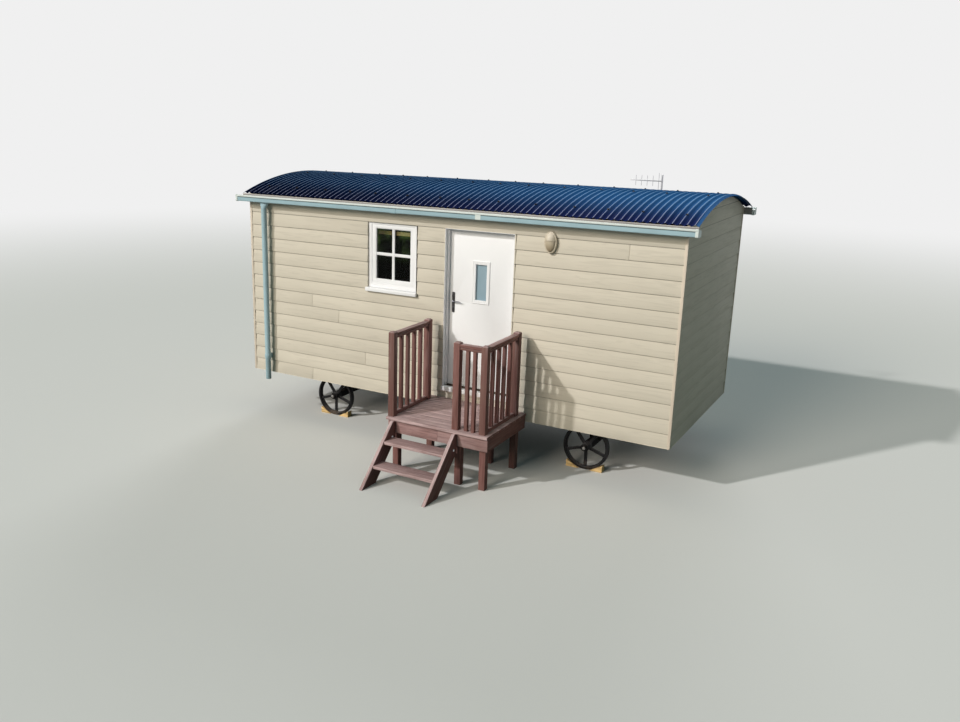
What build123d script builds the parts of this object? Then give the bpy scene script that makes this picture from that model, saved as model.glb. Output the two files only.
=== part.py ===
from build123d import *
import math
import os

# A shepherds hut on four spoked wheels, with a stepped timber entry platform.
# Millimetres. X runs along the hut, the door side faces -Y, and Z is up from the ground.
# "Left" and "right" are as seen by a person who faces the door side.

# Body
body_length = 5740
body_width = 2460
course_height = 165
least_frieze = 200
head_height = 260
roof_rise = 205
corner_trim = 30
cladding_depth = 30
lap_step = 10
cladding_set_back = 2
frieze_set_back = 6
wall_thickness = 120
floor_depth = 250

# Roof
roof_overhang = 95
roof_past_wall = 26
corrugation_pitch = 76
corrugation_depth = 18
sheet_thickness = 4
roof_deck_thickness = 55
seat_gap = 0.3
fascia_thickness = 22
fascia_depth = 80

# Rainwater goods
gutter_width = 113
gutter_height = 80
gutter_back_height = 58
gutter_floor_width = 79
gutter_curve_height = 36
gutter_wall = 4
gutter_lip = 9
gutter_overhang = 120
gutter_drop = 121
union_centre = 560
union_width = 70
union_relief = 4
downpipe_end_distance = 300
downpipe_radius = 36
downpipe_wall = 4
downpipe_stand_off = 40
downpipe_below_wall = 80
outlet_length = 147
outlet_width = 76
outlet_height = 75
pipe_clip_above_wall = 235
pipe_clip_depth = 60
pipe_clip_wall = 6

# Doorway and door
door_end_distance = 2349
door_opening_width = 884
door_opening_height = 1895
door_frame_set_back = 50
door_frame_face = 22
door_frame_depth = 100
door_stop_cover = 12
door_leaf_set_back = 97
door_leaf_thickness = 44
door_gap = 5
cill_projection = 30
cill_thickness = 55
light_offset = 8
light_width = 158
light_height = 435
light_above_floor = 1070
glass_thickness = 6
bead_width = 33
bead_relief = 8
handle_inset = 62
handle_plate_width = 34
handle_plate_height = 242
handle_plate_thickness = 8
handle_plate_above_floor = 1020
spindle_above_plate_centre = 18
spindle_radius = 8
spindle_bore = 12
lever_length = 135
lever_radius = 9
lever_stand_off = 42
hinge_count = 3
hinge_radius = 9
hinge_pin_radius = 5
hinge_length = 90
hinge_plate_width = 35
hinge_plate_thickness = 3
hinge_end_distance = 200
running_gap = 0.3

# Window
window_door_distance = 739
window_width = 701
window_drop = 265
window_height = 798
window_frame_set_back = 30
window_frame_depth = 70
window_frame_face = 48
window_sash_face = 55
window_sash_set_back = 37
window_sash_depth = 46
window_bottom_rail = 57
window_bar_width = 22
window_bar_depth = 24
window_glass_set_back = 53
sill_projection = 32
sill_thickness = 46
sill_horn = 14

# Wall light
lamp_door_distance = 435
lamp_drop = 195
lamp_height = 236
lamp_width = 146
lamp_corner_radius = 62
lamp_body_depth = 40
lamp_rim = 20
lamp_lens_depth = 22
lamp_hood_height = 98
lamp_hood_depth = 50
lamp_hood_radius = 28

# Running gear
wheel_diameter = 540
wheel_headroom = 5
wheel_width = 66
wheel_rim = 24
wheel_flange = 14
wheel_spokes = 5
spoke_width = 34
spoke_depth = 22
hub_radius = 48
hub_length = 110
wheel_set_back = 325
left_wheel_end_distance = 1136
right_wheel_end_distance = 1038
axle_radius = 22
axle_beam_size = 80
axle_end_gap = 5
axle_nut_radius = 36
axle_nut_length = 22
pedestal_length = 130
pedestal_width = 60
rail_spacing = 1200
rail_width = 50
rail_depth = 120
rail_end_inset = 260
cross_member_count = 5
chock_length = 150
chock_height = 80
chock_width = 90
chock_gap = 0.8

# Aerial
aerial_end_distance = 1080
aerial_stand_off = 158
aerial_pole_radius = 11
aerial_pole_length = 1100
aerial_above_ridge = 95
aerial_bracket_count = 2
aerial_bracket_spacing = 2 * course_height
aerial_boom_length = 420
aerial_boom_drop = 85
aerial_boom_size = 12
aerial_first_rod = 44
aerial_rod_radius = 3
aerial_rod_lengths = (210, 130, 130, 130, 130)

# Entry platform
deck_past_door_left = 159
deck_past_door_right = 237
deck_depth = 1000
deck_drop = 145
deck_board_thickness = 32
deck_board_width = 138
deck_board_gap = 5
deck_nosing = 35
deck_side_reveal = 10
rim_depth = 150
rim_thickness = 38
joist_bay_count = 2
leg_size = 75
rear_leg_inset = 50
middle_leg_distance = 388
post_size = 75
post_height = 985
post_point = 12
post_peak_size = 40
post_left_inset = 5
post_right_inset = 45
post_rear_inset = 120
newel_inset = 35
rail_cap_width = 70
rail_cap_depth = 30
rail_cap_top = 963
rail_groove_depth = 9
sub_rail_width = 56
sub_rail_depth = 22
bottom_rail_depth = 43
baluster_size = 40
side_baluster_count = 4
front_baluster_count = 2

# Stair
stair_inset = 70
stair_width = 830
riser_limit = 225
stringer_thickness = 40
stringer_reach = 680
stringer_foot = 275
stringer_head = 55
tread_depth = 190
tread_thickness = 34
tread_seat_gap = 0.3

# Values that follow from those above
half_length = body_length / 2
ground_reach = deck_depth + stringer_reach - deck_nosing
front_y = (ground_reach - body_width - aerial_stand_off - aerial_pole_radius) / 2
rear_y = front_y + body_width
centre_y = (front_y + rear_y) / 2
body_clearance = wheel_diameter + wheel_headroom
floor_top = body_clearance + floor_depth
eaves_height = floor_top + door_opening_height + head_height
course_count = int((eaves_height - least_frieze - body_clearance) // course_height)
roof_radius = ((body_width / 2) ** 2 + roof_rise ** 2) / (2 * roof_rise)
roof_centre_z = eaves_height + roof_rise - roof_radius
sheet_under_radius = roof_radius - corrugation_depth - sheet_thickness
deck_outer_radius = sheet_under_radius - seat_gap
deck_inner_radius = deck_outer_radius - roof_deck_thickness
wall_top_radius = deck_inner_radius - seat_gap
structure_front = front_y + cladding_depth
structure_rear = rear_y - cladding_depth
structure_half = half_length - cladding_depth
inner_front = structure_front + wall_thickness
inner_rear = structure_rear - wall_thickness
inner_half = structure_half - wall_thickness
door_opening_centre = half_length - door_end_distance
door_left = door_opening_centre - door_opening_width / 2
door_right = door_opening_centre + door_opening_width / 2
door_top = floor_top + door_opening_height
window_centre = door_left - window_door_distance
window_left = window_centre - window_width / 2
window_right = window_centre + window_width / 2
window_top = eaves_height - window_drop
window_sill_height = window_top - window_height
wheel_radius = wheel_diameter / 2
left_wheel_centre = left_wheel_end_distance - half_length
right_wheel_centre = half_length - right_wheel_end_distance
front_wheel_y = front_y + wheel_set_back
rear_wheel_y = rear_y - wheel_set_back
fascia_front = front_y - fascia_thickness
fascia_rear = rear_y + fascia_thickness

os.makedirs("parts", exist_ok=True)


def finish(part, name):
    """Label a finished piece and write it as a node of its own."""
    part.label = name
    export_step(part, "parts/" + name + ".step")


def bar(x_span, y_span, z_span, mode=Mode.ADD):
    """Add a straight bar between two opposite corners to the part being built."""
    middle = [(span[0] + span[1]) / 2 for span in (x_span, y_span, z_span)]
    with Locations(tuple(middle)):
        Box(
            x_span[1] - x_span[0],
            y_span[1] - y_span[0],
            z_span[1] - z_span[0],
            mode=mode,
        )


def across(centre, width):
    """The span of a given width about a centre."""
    return (centre - width / 2, centre + width / 2)


def under_roof(radius):
    """Trim the part being built to the barrel of a given radius."""
    with Locations((0, centre_y, roof_centre_z)):
        Cylinder(radius, 2 * body_length, rotation=(0, 90, 0), mode=Mode.INTERSECT)


def arc_height(radius, offset):
    """Height of the barrel of a given radius, at an offset from the ridge line."""
    return roof_centre_z + math.sqrt(radius ** 2 - offset ** 2)


def face_plane(origin, inward):
    """A plane whose x runs into the wall and whose y is up."""
    return Plane(
        origin=origin, x_dir=inward, z_dir=Vector(inward).cross(Vector(0, 0, 1))
    )


def lap_points(courses, top):
    """Section of lapped boards, each leaning out to its lower edge, under a plain board."""
    points = [(cladding_depth, body_clearance)]
    for course in range(courses):
        foot = body_clearance + course * course_height
        points.append((cladding_set_back, foot))
        points.append((cladding_set_back + lap_step, foot + course_height))
    points.append((frieze_set_back, points[-1][1]))
    points.append((frieze_set_back, top))
    points.append((cladding_depth, points[-1][1]))
    return points


# Floor, the platform that the walls stand on
with BuildPart() as floor:
    bar(
        (-structure_half, structure_half),
        (structure_front, structure_rear),
        (body_clearance, floor_top),
    )
finish(floor.part, "floor")

# Structural walls, split beside and over the doorway
ridge_height = eaves_height + roof_rise
with BuildPart() as front_wall_left:
    bar((-structure_half, door_left), (structure_front, inner_front), (floor_top, ridge_height))
    bar(
        (window_left, window_right),
        (structure_front, inner_front),
        (window_sill_height - sill_thickness, window_top),
        mode=Mode.SUBTRACT,
    )
    under_roof(wall_top_radius)
finish(front_wall_left.part, "front_wall_left")

with BuildPart() as front_wall_right:
    bar((door_right, structure_half), (structure_front, inner_front), (floor_top, ridge_height))
    under_roof(wall_top_radius)
finish(front_wall_right.part, "front_wall_right")

with BuildPart() as front_wall_over_door:
    bar((door_left, door_right), (structure_front, inner_front), (door_top, ridge_height))
    under_roof(wall_top_radius)
finish(front_wall_over_door.part, "front_wall_over_door")

with BuildPart() as rear_wall:
    bar((-structure_half, structure_half), (inner_rear, structure_rear), (floor_top, ridge_height))
    under_roof(wall_top_radius)
finish(rear_wall.part, "rear_wall")

for side, name in ((-1, "left_end_wall"), (1, "right_end_wall")):
    with BuildPart() as end_wall:
        bar(
            tuple(sorted((side * inner_half, side * structure_half))),
            (inner_front, inner_rear),
            (floor_top, ridge_height),
        )
        under_roof(wall_top_radius)
    finish(end_wall.part, name)

# Lapped cladding on each side, with a plain frieze under the eaves and a plain gable at each end
clad_half = half_length - corner_trim
front_plane = face_plane((0, front_y, 0), (0, 1, 0))
rear_plane = face_plane((0, rear_y, 0), (0, -1, 0))
with BuildPart() as front_cladding:
    with BuildSketch(front_plane):
        with BuildLine():
            Polyline(lap_points(course_count, ridge_height), close=True)
        make_face()
    extrude(amount=clad_half, both=True)
    bar(
        (window_left, window_right),
        (front_y, structure_front),
        (window_sill_height - sill_thickness, window_top),
        mode=Mode.SUBTRACT,
    )
    bar(
        (door_left, door_right),
        (front_y, structure_front),
        (floor_top - cill_thickness, door_top),
        mode=Mode.SUBTRACT,
    )
    under_roof(wall_top_radius)
finish(front_cladding.part, "front_cladding")

with BuildPart() as rear_cladding:
    with BuildSketch(rear_plane):
        with BuildLine():
            Polyline(lap_points(course_count, ridge_height), close=True)
        make_face()
    extrude(amount=clad_half, both=True)
    under_roof(wall_top_radius)
finish(rear_cladding.part, "rear_cladding")

end_courses = course_count + 1
for side, name in ((-1, "left_end_cladding"), (1, "right_end_cladding")):
    end_plane = face_plane((side * half_length, centre_y, 0), (-side, 0, 0))
    with BuildPart() as end_cladding:
        with BuildSketch(end_plane):
            with BuildLine():
                Polyline(lap_points(end_courses, ridge_height), close=True)
            make_face()
        extrude(amount=body_width / 2 - corner_trim, both=True)
        under_roof(deck_outer_radius)
    finish(end_cladding.part, name)

# Corner trims, one square bead at each corner
with BuildPart() as corner_trims:
    for side in (-1, 1):
        for wall_y, inward in ((front_y, 1), (rear_y, -1)):
            bar(
                tuple(sorted((side * clad_half, side * half_length))),
                tuple(sorted((wall_y, wall_y + inward * corner_trim))),
                (body_clearance, ridge_height),
            )
    under_roof(deck_outer_radius)
finish(corner_trims.part, "corner_trims")

# Roof deck, a curved structural shell between the end claddings
deck_angle = math.degrees(math.asin(body_width / 2 / roof_radius))


def eaves_plane(angle):
    """A plane through the barrel's axis at the front eaves: x along it, y outwards."""
    turn = math.radians(angle)
    return Plane(
        origin=(0, centre_y, roof_centre_z),
        x_dir=(1, 0, 0),
        z_dir=(0, -math.cos(turn), -math.sin(turn)),
    )


barrel_axis = Axis((0, centre_y, roof_centre_z), (-1, 0, 0))
with BuildPart() as roof_deck:
    with BuildSketch(eaves_plane(deck_angle)):
        with Locations((0, (deck_inner_radius + deck_outer_radius) / 2)):
            Rectangle(2 * structure_half, roof_deck_thickness)
    revolve(axis=barrel_axis, revolution_arc=2 * deck_angle)
finish(roof_deck.part, "roof_deck")

# Corrugated roof sheet, its waves running from eaves to eaves
sheet_angle = math.degrees(math.asin((body_width / 2 + roof_past_wall) / roof_radius))
wave_count = round((body_length + 2 * roof_overhang) / corrugation_pitch)
sheet_half = wave_count * corrugation_pitch / 2
valley_radius = roof_radius - corrugation_depth
with BuildPart() as roof_sheet:
    with BuildSketch(eaves_plane(sheet_angle)):
        with BuildLine():
            wave = [(-sheet_half, sheet_under_radius), (-sheet_half, valley_radius)]
            for number in range(wave_count):
                valley = -sheet_half + number * corrugation_pitch
                wave.append((valley + corrugation_pitch / 2, roof_radius))
                wave.append((valley + corrugation_pitch, valley_radius))
            wave.append((sheet_half, sheet_under_radius))
            Polyline(wave, close=True)
        make_face()
    revolve(axis=barrel_axis, revolution_arc=2 * sheet_angle)
finish(roof_sheet.part, "roof_sheet")

# Fascia boards along both eaves
fascia_top = arc_height(sheet_under_radius, body_width / 2 + fascia_thickness) - seat_gap
with BuildPart() as fascias:
    for y_span in ((fascia_front, front_y), (rear_y, fascia_rear)):
        bar((-sheet_half, sheet_half), y_span, (fascia_top - fascia_depth, fascia_top))
finish(fascias.part, "fascias")

# Gutters, open channels with stop ends and one union bracket
gutter_half = half_length + gutter_overhang
gutter_bottom_height = eaves_height - gutter_drop


def gutter_outline(relief, front_height):
    """Outline of the gutter grown by a relief: straight back, flat bottom, swept front."""
    back = max(-relief, 0)
    front = gutter_width + relief
    Polyline((back, gutter_back_height), (back, -relief), (gutter_floor_width, -relief))
    TangentArc((gutter_floor_width, -relief), (front, gutter_curve_height), tangent=(1, 0))
    Polyline((front, gutter_curve_height), (front, front_height), (back, gutter_back_height))


pipe_y = front_y - downpipe_stand_off - downpipe_radius
for name, face_y, outward in (("front_gutter", fascia_front, -1), ("rear_gutter", fascia_rear, 1)):
    gutter_plane = Plane(
        origin=(0, face_y, gutter_bottom_height), x_dir=(0, outward, 0), z_dir=(outward, 0, 0)
    )
    union_side = -outward * union_centre
    with BuildPart() as gutter:
        with BuildSketch(gutter_plane):
            with BuildLine():
                gutter_outline(0, gutter_height)
            make_face()
        extrude(amount=gutter_half, both=True)
        with BuildSketch(gutter_plane.offset(union_side - union_width / 2)):
            with BuildLine():
                gutter_outline(union_relief, gutter_height + union_relief)
            make_face()
        extrude(amount=union_width)
        with BuildSketch(gutter_plane):
            with BuildLine():
                gutter_outline(-gutter_wall, gutter_height)
            make_face()
        extrude(amount=gutter_half - gutter_wall, both=True, mode=Mode.SUBTRACT)
        with BuildSketch(gutter_plane):
            with Locations((gutter_width - gutter_lip / 2, gutter_height - gutter_lip / 2)):
                Rectangle(gutter_lip, gutter_lip)
        extrude(amount=gutter_half, both=True)
    finish(gutter.part, name)

# Downpipe with a tapered outlet, and a clip near its foot
downpipe_centre = downpipe_end_distance - half_length
downpipe_end_height = body_clearance - downpipe_below_wall
pipe_clip_height = body_clearance + pipe_clip_above_wall
pipe_top = gutter_bottom_height - outlet_height
with BuildPart() as downpipe:
    with BuildSketch(Plane.XY.offset(downpipe_end_height)):
        with Locations((downpipe_centre, pipe_y)):
            Circle(downpipe_radius)
    extrude(amount=pipe_top - downpipe_end_height)
    with BuildSketch(Plane.XY.offset(pipe_top)):
        with Locations((downpipe_centre, pipe_y)):
            Circle(downpipe_radius)
    with BuildSketch(Plane.XY.offset(gutter_bottom_height - seat_gap)):
        with Locations((downpipe_centre, fascia_front - outlet_width / 2 - seat_gap)):
            Ellipse(outlet_length / 2, outlet_width / 2)
    loft()
    with BuildSketch(Plane.XY.offset(pipe_clip_height - pipe_clip_depth / 2)):
        with Locations((downpipe_centre, pipe_y)):
            Circle(downpipe_radius + pipe_clip_wall)
        with Locations((downpipe_centre, front_y - downpipe_stand_off / 2)):
            Rectangle(downpipe_radius, downpipe_stand_off)
    extrude(amount=pipe_clip_depth)
    with BuildSketch(Plane.XY.offset(downpipe_end_height)):
        with Locations((downpipe_centre, pipe_y)):
            Circle(downpipe_radius - downpipe_wall)
    extrude(amount=pipe_top - downpipe_end_height, mode=Mode.SUBTRACT)
finish(downpipe.part, "downpipe")

# Window: frame, sash with its bars, one sheet of glass and the sill
with BuildPart() as window_frame:
    frame_y = (front_y + window_frame_set_back, front_y + window_frame_set_back + window_frame_depth)
    bar((window_left, window_right), frame_y, (window_sill_height, window_top))
    bar(
        (window_left + window_frame_face, window_right - window_frame_face),
        frame_y,
        (window_sill_height + window_frame_face, window_top - window_frame_face / 2),
        mode=Mode.SUBTRACT,
    )
finish(window_frame.part, "window_frame")

sash_left = window_left + window_frame_face
sash_right = window_right - window_frame_face
sash_bottom = window_sill_height + window_frame_face
sash_top = window_top - window_frame_face / 2
glass_left = sash_left + window_sash_face
glass_right = sash_right - window_sash_face
glass_bottom = sash_bottom + window_bottom_rail
glass_top = sash_top - window_sash_face + window_frame_face / 4
with BuildPart() as window_sash:
    sash_y = (front_y + window_sash_set_back, front_y + window_sash_set_back + window_sash_depth)
    glass_y = front_y + window_glass_set_back
    bar((sash_left, sash_right), sash_y, (sash_bottom, sash_top))
    bar((glass_left, glass_right), sash_y, (glass_bottom, glass_top), mode=Mode.SUBTRACT)
    bar_y = (glass_y - window_bar_depth / 2, glass_y)
    middle_x = (glass_left + glass_right) / 2
    middle_z = (glass_bottom + glass_top) / 2
    bar(across(middle_x, window_bar_width), bar_y, (glass_bottom, glass_top))
    bar((glass_left, glass_right), bar_y, across(middle_z, window_bar_width))
finish(window_sash.part, "window_sash")

with BuildPart() as window_glass:
    bar((glass_left, glass_right), (glass_y, glass_y + glass_thickness), (glass_bottom, glass_top))
finish(window_glass.part, "window_glass")

with BuildPart() as window_sill:
    bar(
        (window_left, window_right),
        (front_y, inner_front),
        (window_sill_height - sill_thickness, window_sill_height),
    )
    bar(
        (window_left - sill_horn, window_right + sill_horn),
        (front_y - sill_projection, front_y),
        (window_sill_height - sill_thickness, window_sill_height),
    )
    drip_edges = window_sill.edges().filter_by(Axis.X).group_by(Axis.Y)[0].group_by(Axis.Z)[-1]
    chamfer(drip_edges, sill_projection / 4)
finish(window_sill.part, "window_sill")

# Door frame with its stop, and the threshold
with BuildPart() as door_frame:
    frame_front = front_y + door_frame_set_back
    frame_back = frame_front + door_frame_depth
    stop_back = front_y + door_leaf_set_back - door_gap
    bar((door_left, door_right), (frame_front, frame_back), (floor_top, door_top))
    bar(
        (door_left + door_frame_face, door_right - door_frame_face),
        (frame_front, frame_back),
        (floor_top, door_top - door_frame_face),
        mode=Mode.SUBTRACT,
    )
    rebate_face = door_frame_face - door_stop_cover
    bar(
        (door_left + rebate_face, door_right - rebate_face),
        (stop_back, frame_back),
        (floor_top, door_top - rebate_face),
        mode=Mode.SUBTRACT,
    )
finish(door_frame.part, "door_frame")

with BuildPart() as door_cill:
    bar(
        (door_left, door_right),
        (front_y - cill_projection, structure_front),
        (floor_top - cill_thickness, floor_top),
    )
finish(door_cill.part, "door_cill")

# Door leaf, hinged on its right edge and opening inwards
leaf_left = door_left + rebate_face + door_gap
leaf_right = door_right - rebate_face - door_gap
leaf_bottom = floor_top + door_gap
leaf_top = door_top - rebate_face - door_gap
leaf_front = front_y + door_leaf_set_back
leaf_back = leaf_front + door_leaf_thickness
light_centre = door_opening_centre - light_offset
light_bottom = floor_top + light_above_floor
light_left = light_centre - light_width / 2
light_right = light_centre + light_width / 2
light_top = light_bottom + light_height
handle_x = leaf_left + handle_inset
handle_plate_centre_height = floor_top + handle_plate_above_floor
spindle_height = handle_plate_centre_height + spindle_above_plate_centre
with BuildPart() as door_leaf:
    bar((leaf_left, leaf_right), (leaf_front, leaf_back), (leaf_bottom, leaf_top))
    bar(
        (light_left - bead_width, light_right + bead_width),
        (leaf_front - bead_relief, leaf_front),
        (light_bottom - bead_width, light_top + bead_width),
    )
    bar(
        (light_left, light_right),
        (leaf_front - bead_relief, leaf_back),
        (light_bottom, light_top),
        mode=Mode.SUBTRACT,
    )
    with Locations((handle_x, (leaf_front + leaf_back) / 2, spindle_height)):
        Cylinder(spindle_bore, door_leaf_thickness, rotation=(90, 0, 0), mode=Mode.SUBTRACT)
finish(door_leaf.part, "door_leaf")

with BuildPart() as door_light:
    pane_y = (leaf_front + leaf_back - glass_thickness) / 2
    bar((light_left, light_right), (pane_y, pane_y + glass_thickness), (light_bottom, light_top))
finish(door_light.part, "door_light")

with BuildPart() as door_handle_plates:
    plate_z = across(handle_plate_centre_height, handle_plate_height)
    plate_x = across(handle_x, handle_plate_width)
    bar(plate_x, (leaf_front - handle_plate_thickness, leaf_front), plate_z)
    bar(plate_x, (leaf_back, leaf_back + handle_plate_thickness), plate_z)
    fillet(door_handle_plates.edges().filter_by(Axis.Y), handle_plate_width / 4)
    with Locations((handle_x, (leaf_front + leaf_back) / 2, spindle_height)):
        Cylinder(
            spindle_radius + running_gap,
            3 * door_leaf_thickness,
            rotation=(90, 0, 0),
            mode=Mode.SUBTRACT,
        )
finish(door_handle_plates.part, "door_handle_plates")

# Lever handles on both faces, on one spindle
with BuildPart() as door_lever:
    with Locations((handle_x, (leaf_front + leaf_back) / 2, spindle_height)):
        Cylinder(spindle_radius, door_leaf_thickness + 2 * lever_stand_off, rotation=(90, 0, 0))
    for lever_y in (leaf_front - lever_stand_off, leaf_back + lever_stand_off):
        with Locations((handle_x + lever_length / 2 - lever_radius, lever_y, spindle_height)):
            Cylinder(lever_radius, lever_length, rotation=(0, 90, 0))
finish(door_lever.part, "door_lever")

# Hinges: pins, outer knuckles and plates stay on the frame, middle knuckles ride on the leaf
pivot_x = leaf_right + door_gap / 2
pivot_y = inner_front + seat_gap + hinge_radius
knuckle = hinge_length / 3
hinge_spacing = (leaf_top - leaf_bottom - 2 * hinge_end_distance) / (hinge_count - 1)
lowest_hinge = leaf_bottom + hinge_end_distance
hinge_heights = [lowest_hinge + number * hinge_spacing for number in range(hinge_count)]
with BuildPart() as door_hinges:
    for hinge_z in hinge_heights:
        with Locations((pivot_x, pivot_y, hinge_z)):
            Cylinder(hinge_radius, hinge_length)
        bar(
            (pivot_x, pivot_x + hinge_radius + hinge_plate_width),
            (inner_front, inner_front + hinge_plate_thickness),
            (hinge_z - hinge_length / 2, hinge_z + hinge_length / 2),
        )
        with Locations((pivot_x, pivot_y, hinge_z)):
            Cylinder(hinge_radius + running_gap, knuckle, mode=Mode.SUBTRACT)
            Cylinder(hinge_pin_radius, hinge_length)
finish(door_hinges.part, "door_hinges")

with BuildPart() as door_hinge_leaves:
    for hinge_z in hinge_heights:
        leaf_knuckle = (hinge_z - knuckle / 2 + running_gap, hinge_z + knuckle / 2 - running_gap)
        with Locations((pivot_x, pivot_y, hinge_z)):
            Cylinder(hinge_radius, knuckle - 2 * running_gap)
        bar(
            (leaf_right - hinge_plate_thickness, pivot_x),
            (leaf_back, pivot_y),
            leaf_knuckle,
        )
        bar(
            (leaf_right - hinge_plate_width, leaf_right),
            (leaf_back, leaf_back + hinge_plate_thickness),
            (hinge_z - hinge_length / 2, hinge_z + hinge_length / 2),
        )
        with Locations((pivot_x, pivot_y, hinge_z)):
            Cylinder(hinge_pin_radius + running_gap, hinge_length, mode=Mode.SUBTRACT)
finish(door_hinge_leaves.part, "door_hinge_leaves")

# Wall light: a rounded body, a raised lens and an eyelid hood over its upper part
lamp_centre = door_right + lamp_door_distance
lamp_top_height = eaves_height - lamp_drop
lamp_middle_height = lamp_top_height - lamp_height / 2
lamp_plane = Plane(
    origin=(lamp_centre, front_y + cladding_set_back, lamp_middle_height),
    x_dir=(1, 0, 0),
    z_dir=(0, -1, 0),
)
lamp_face = lamp_plane.offset(lamp_body_depth)
with BuildPart() as wall_lamp:
    with BuildSketch(lamp_plane):
        RectangleRounded(lamp_width, lamp_height, lamp_corner_radius)
    extrude(amount=lamp_body_depth)
    with BuildSketch(lamp_face):
        RectangleRounded(lamp_width, lamp_height, lamp_corner_radius)
        with Locations((0, (lamp_height - lamp_hood_height) / 2)):
            Rectangle(lamp_width, lamp_hood_height, mode=Mode.INTERSECT)
    extrude(amount=lamp_hood_depth)
    hood_front = wall_lamp.faces().sort_by(Axis.Y)[0]
    fillet(hood_front.edges().sort_by(Axis.Z)[1:], lamp_hood_radius)
    with BuildSketch(lamp_face):
        RectangleRounded(
            lamp_width - 2 * lamp_rim,
            lamp_height - 2 * lamp_rim,
            lamp_corner_radius - lamp_rim,
        )
    extrude(amount=lamp_lens_depth)
finish(wall_lamp.part, "wall_lamp")

# Chassis ladder under the floor
rail_half = half_length - rail_end_inset
rail_top = body_clearance
rail_bottom = body_clearance - rail_depth
with BuildPart() as chassis:
    for side in (-1, 1):
        rail_y = centre_y + side * rail_spacing / 2
        bar(
            (-rail_half, rail_half),
            (rail_y - rail_width / 2, rail_y + rail_width / 2),
            (rail_bottom, rail_top),
        )
    member_pitch = (2 * rail_half - rail_width) / (cross_member_count - 1)
    for number in range(cross_member_count):
        member_x = -rail_half + rail_width / 2 + number * member_pitch
        bar(
            (member_x - rail_width / 2, member_x + rail_width / 2),
            (centre_y - rail_spacing / 2, centre_y + rail_spacing / 2),
            (rail_bottom, rail_top),
        )
finish(chassis.part, "chassis")

# Axles: a square beam on two pedestals, a turned stub through each hub and its nut
for name, axle_x in (("left_axle", left_wheel_centre), ("right_axle", right_wheel_centre)):
    beam_half = (rear_wheel_y - front_wheel_y - hub_length) / 2 - axle_end_gap
    stub_half = beam_half + hub_length + 2 * axle_end_gap + axle_nut_length
    with BuildPart() as axle:
        bar(
            (axle_x - axle_beam_size / 2, axle_x + axle_beam_size / 2),
            (centre_y - beam_half, centre_y + beam_half),
            (wheel_radius - axle_beam_size / 2, wheel_radius + axle_beam_size / 2),
        )
        for side in (-1, 1):
            rail_y = centre_y + side * rail_spacing / 2
            bar(
                (axle_x - pedestal_length / 2, axle_x + pedestal_length / 2),
                (rail_y - pedestal_width / 2, rail_y + pedestal_width / 2),
                (wheel_radius, rail_bottom),
            )
            nut_y = centre_y + side * (stub_half - axle_nut_length / 2)
            with Locations((axle_x, nut_y, wheel_radius)):
                Cylinder(axle_nut_radius, axle_nut_length, rotation=(90, 0, 0))
        with Locations((axle_x, centre_y, wheel_radius)):
            Cylinder(axle_radius, 2 * stub_half, rotation=(90, 0, 0))
    finish(axle.part, name)

# Spoked wheels: a flanged rim, a hub and flat spokes
wheel_places = (
    ("front_left_wheel", left_wheel_centre, front_wheel_y),
    ("front_right_wheel", right_wheel_centre, front_wheel_y),
    ("rear_left_wheel", left_wheel_centre, rear_wheel_y),
    ("rear_right_wheel", right_wheel_centre, rear_wheel_y),
)
for name, wheel_x, wheel_y in wheel_places:
    wheel_plane = Plane(origin=(wheel_x, wheel_y, wheel_radius), x_dir=(1, 0, 0), z_dir=(0, -1, 0))
    with BuildPart() as wheel:
        with BuildSketch(wheel_plane.offset(-wheel_width / 2)):
            Circle(wheel_radius)
            Circle(wheel_radius - wheel_rim, mode=Mode.SUBTRACT)
        extrude(amount=wheel_width)
        with BuildSketch(wheel_plane.offset(-spoke_depth / 2)):
            Circle(wheel_radius - wheel_rim / 2)
            Circle(wheel_radius - wheel_rim - wheel_flange, mode=Mode.SUBTRACT)
            with PolarLocations(wheel_radius / 2, wheel_spokes, start_angle=-90):
                Rectangle(wheel_radius - wheel_rim, spoke_width)
        extrude(amount=spoke_depth)
        with BuildSketch(wheel_plane.offset(-hub_length / 2)):
            Circle(hub_radius)
        extrude(amount=hub_length)
        with BuildSketch(wheel_plane.offset(-hub_length / 2)):
            Circle(axle_radius + running_gap)
        extrude(amount=hub_length, mode=Mode.SUBTRACT)
    finish(wheel.part, name)

# Timber chocks, a wedge on each side of every wheel
chock_angle = math.atan2(chock_height, chock_length)
chock_tip = wheel_radius * math.tan(chock_angle / 2) + chock_gap / math.sin(chock_angle)
with BuildPart() as wheel_chocks:
    for wheel_x in (left_wheel_centre, right_wheel_centre):
        for wheel_y in (front_wheel_y, rear_wheel_y):
            for side in (-1, 1):
                tip_x = wheel_x + side * chock_tip
                end_x = tip_x + side * chock_length
                with BuildSketch(Plane.XZ.offset(-wheel_y - chock_width / 2)):
                    with BuildLine():
                        Polyline((tip_x, 0), (end_x, 0), (end_x, chock_height), close=True)
                    make_face()
                extrude(amount=chock_width)
finish(wheel_chocks.part, "wheel_chocks")

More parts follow.
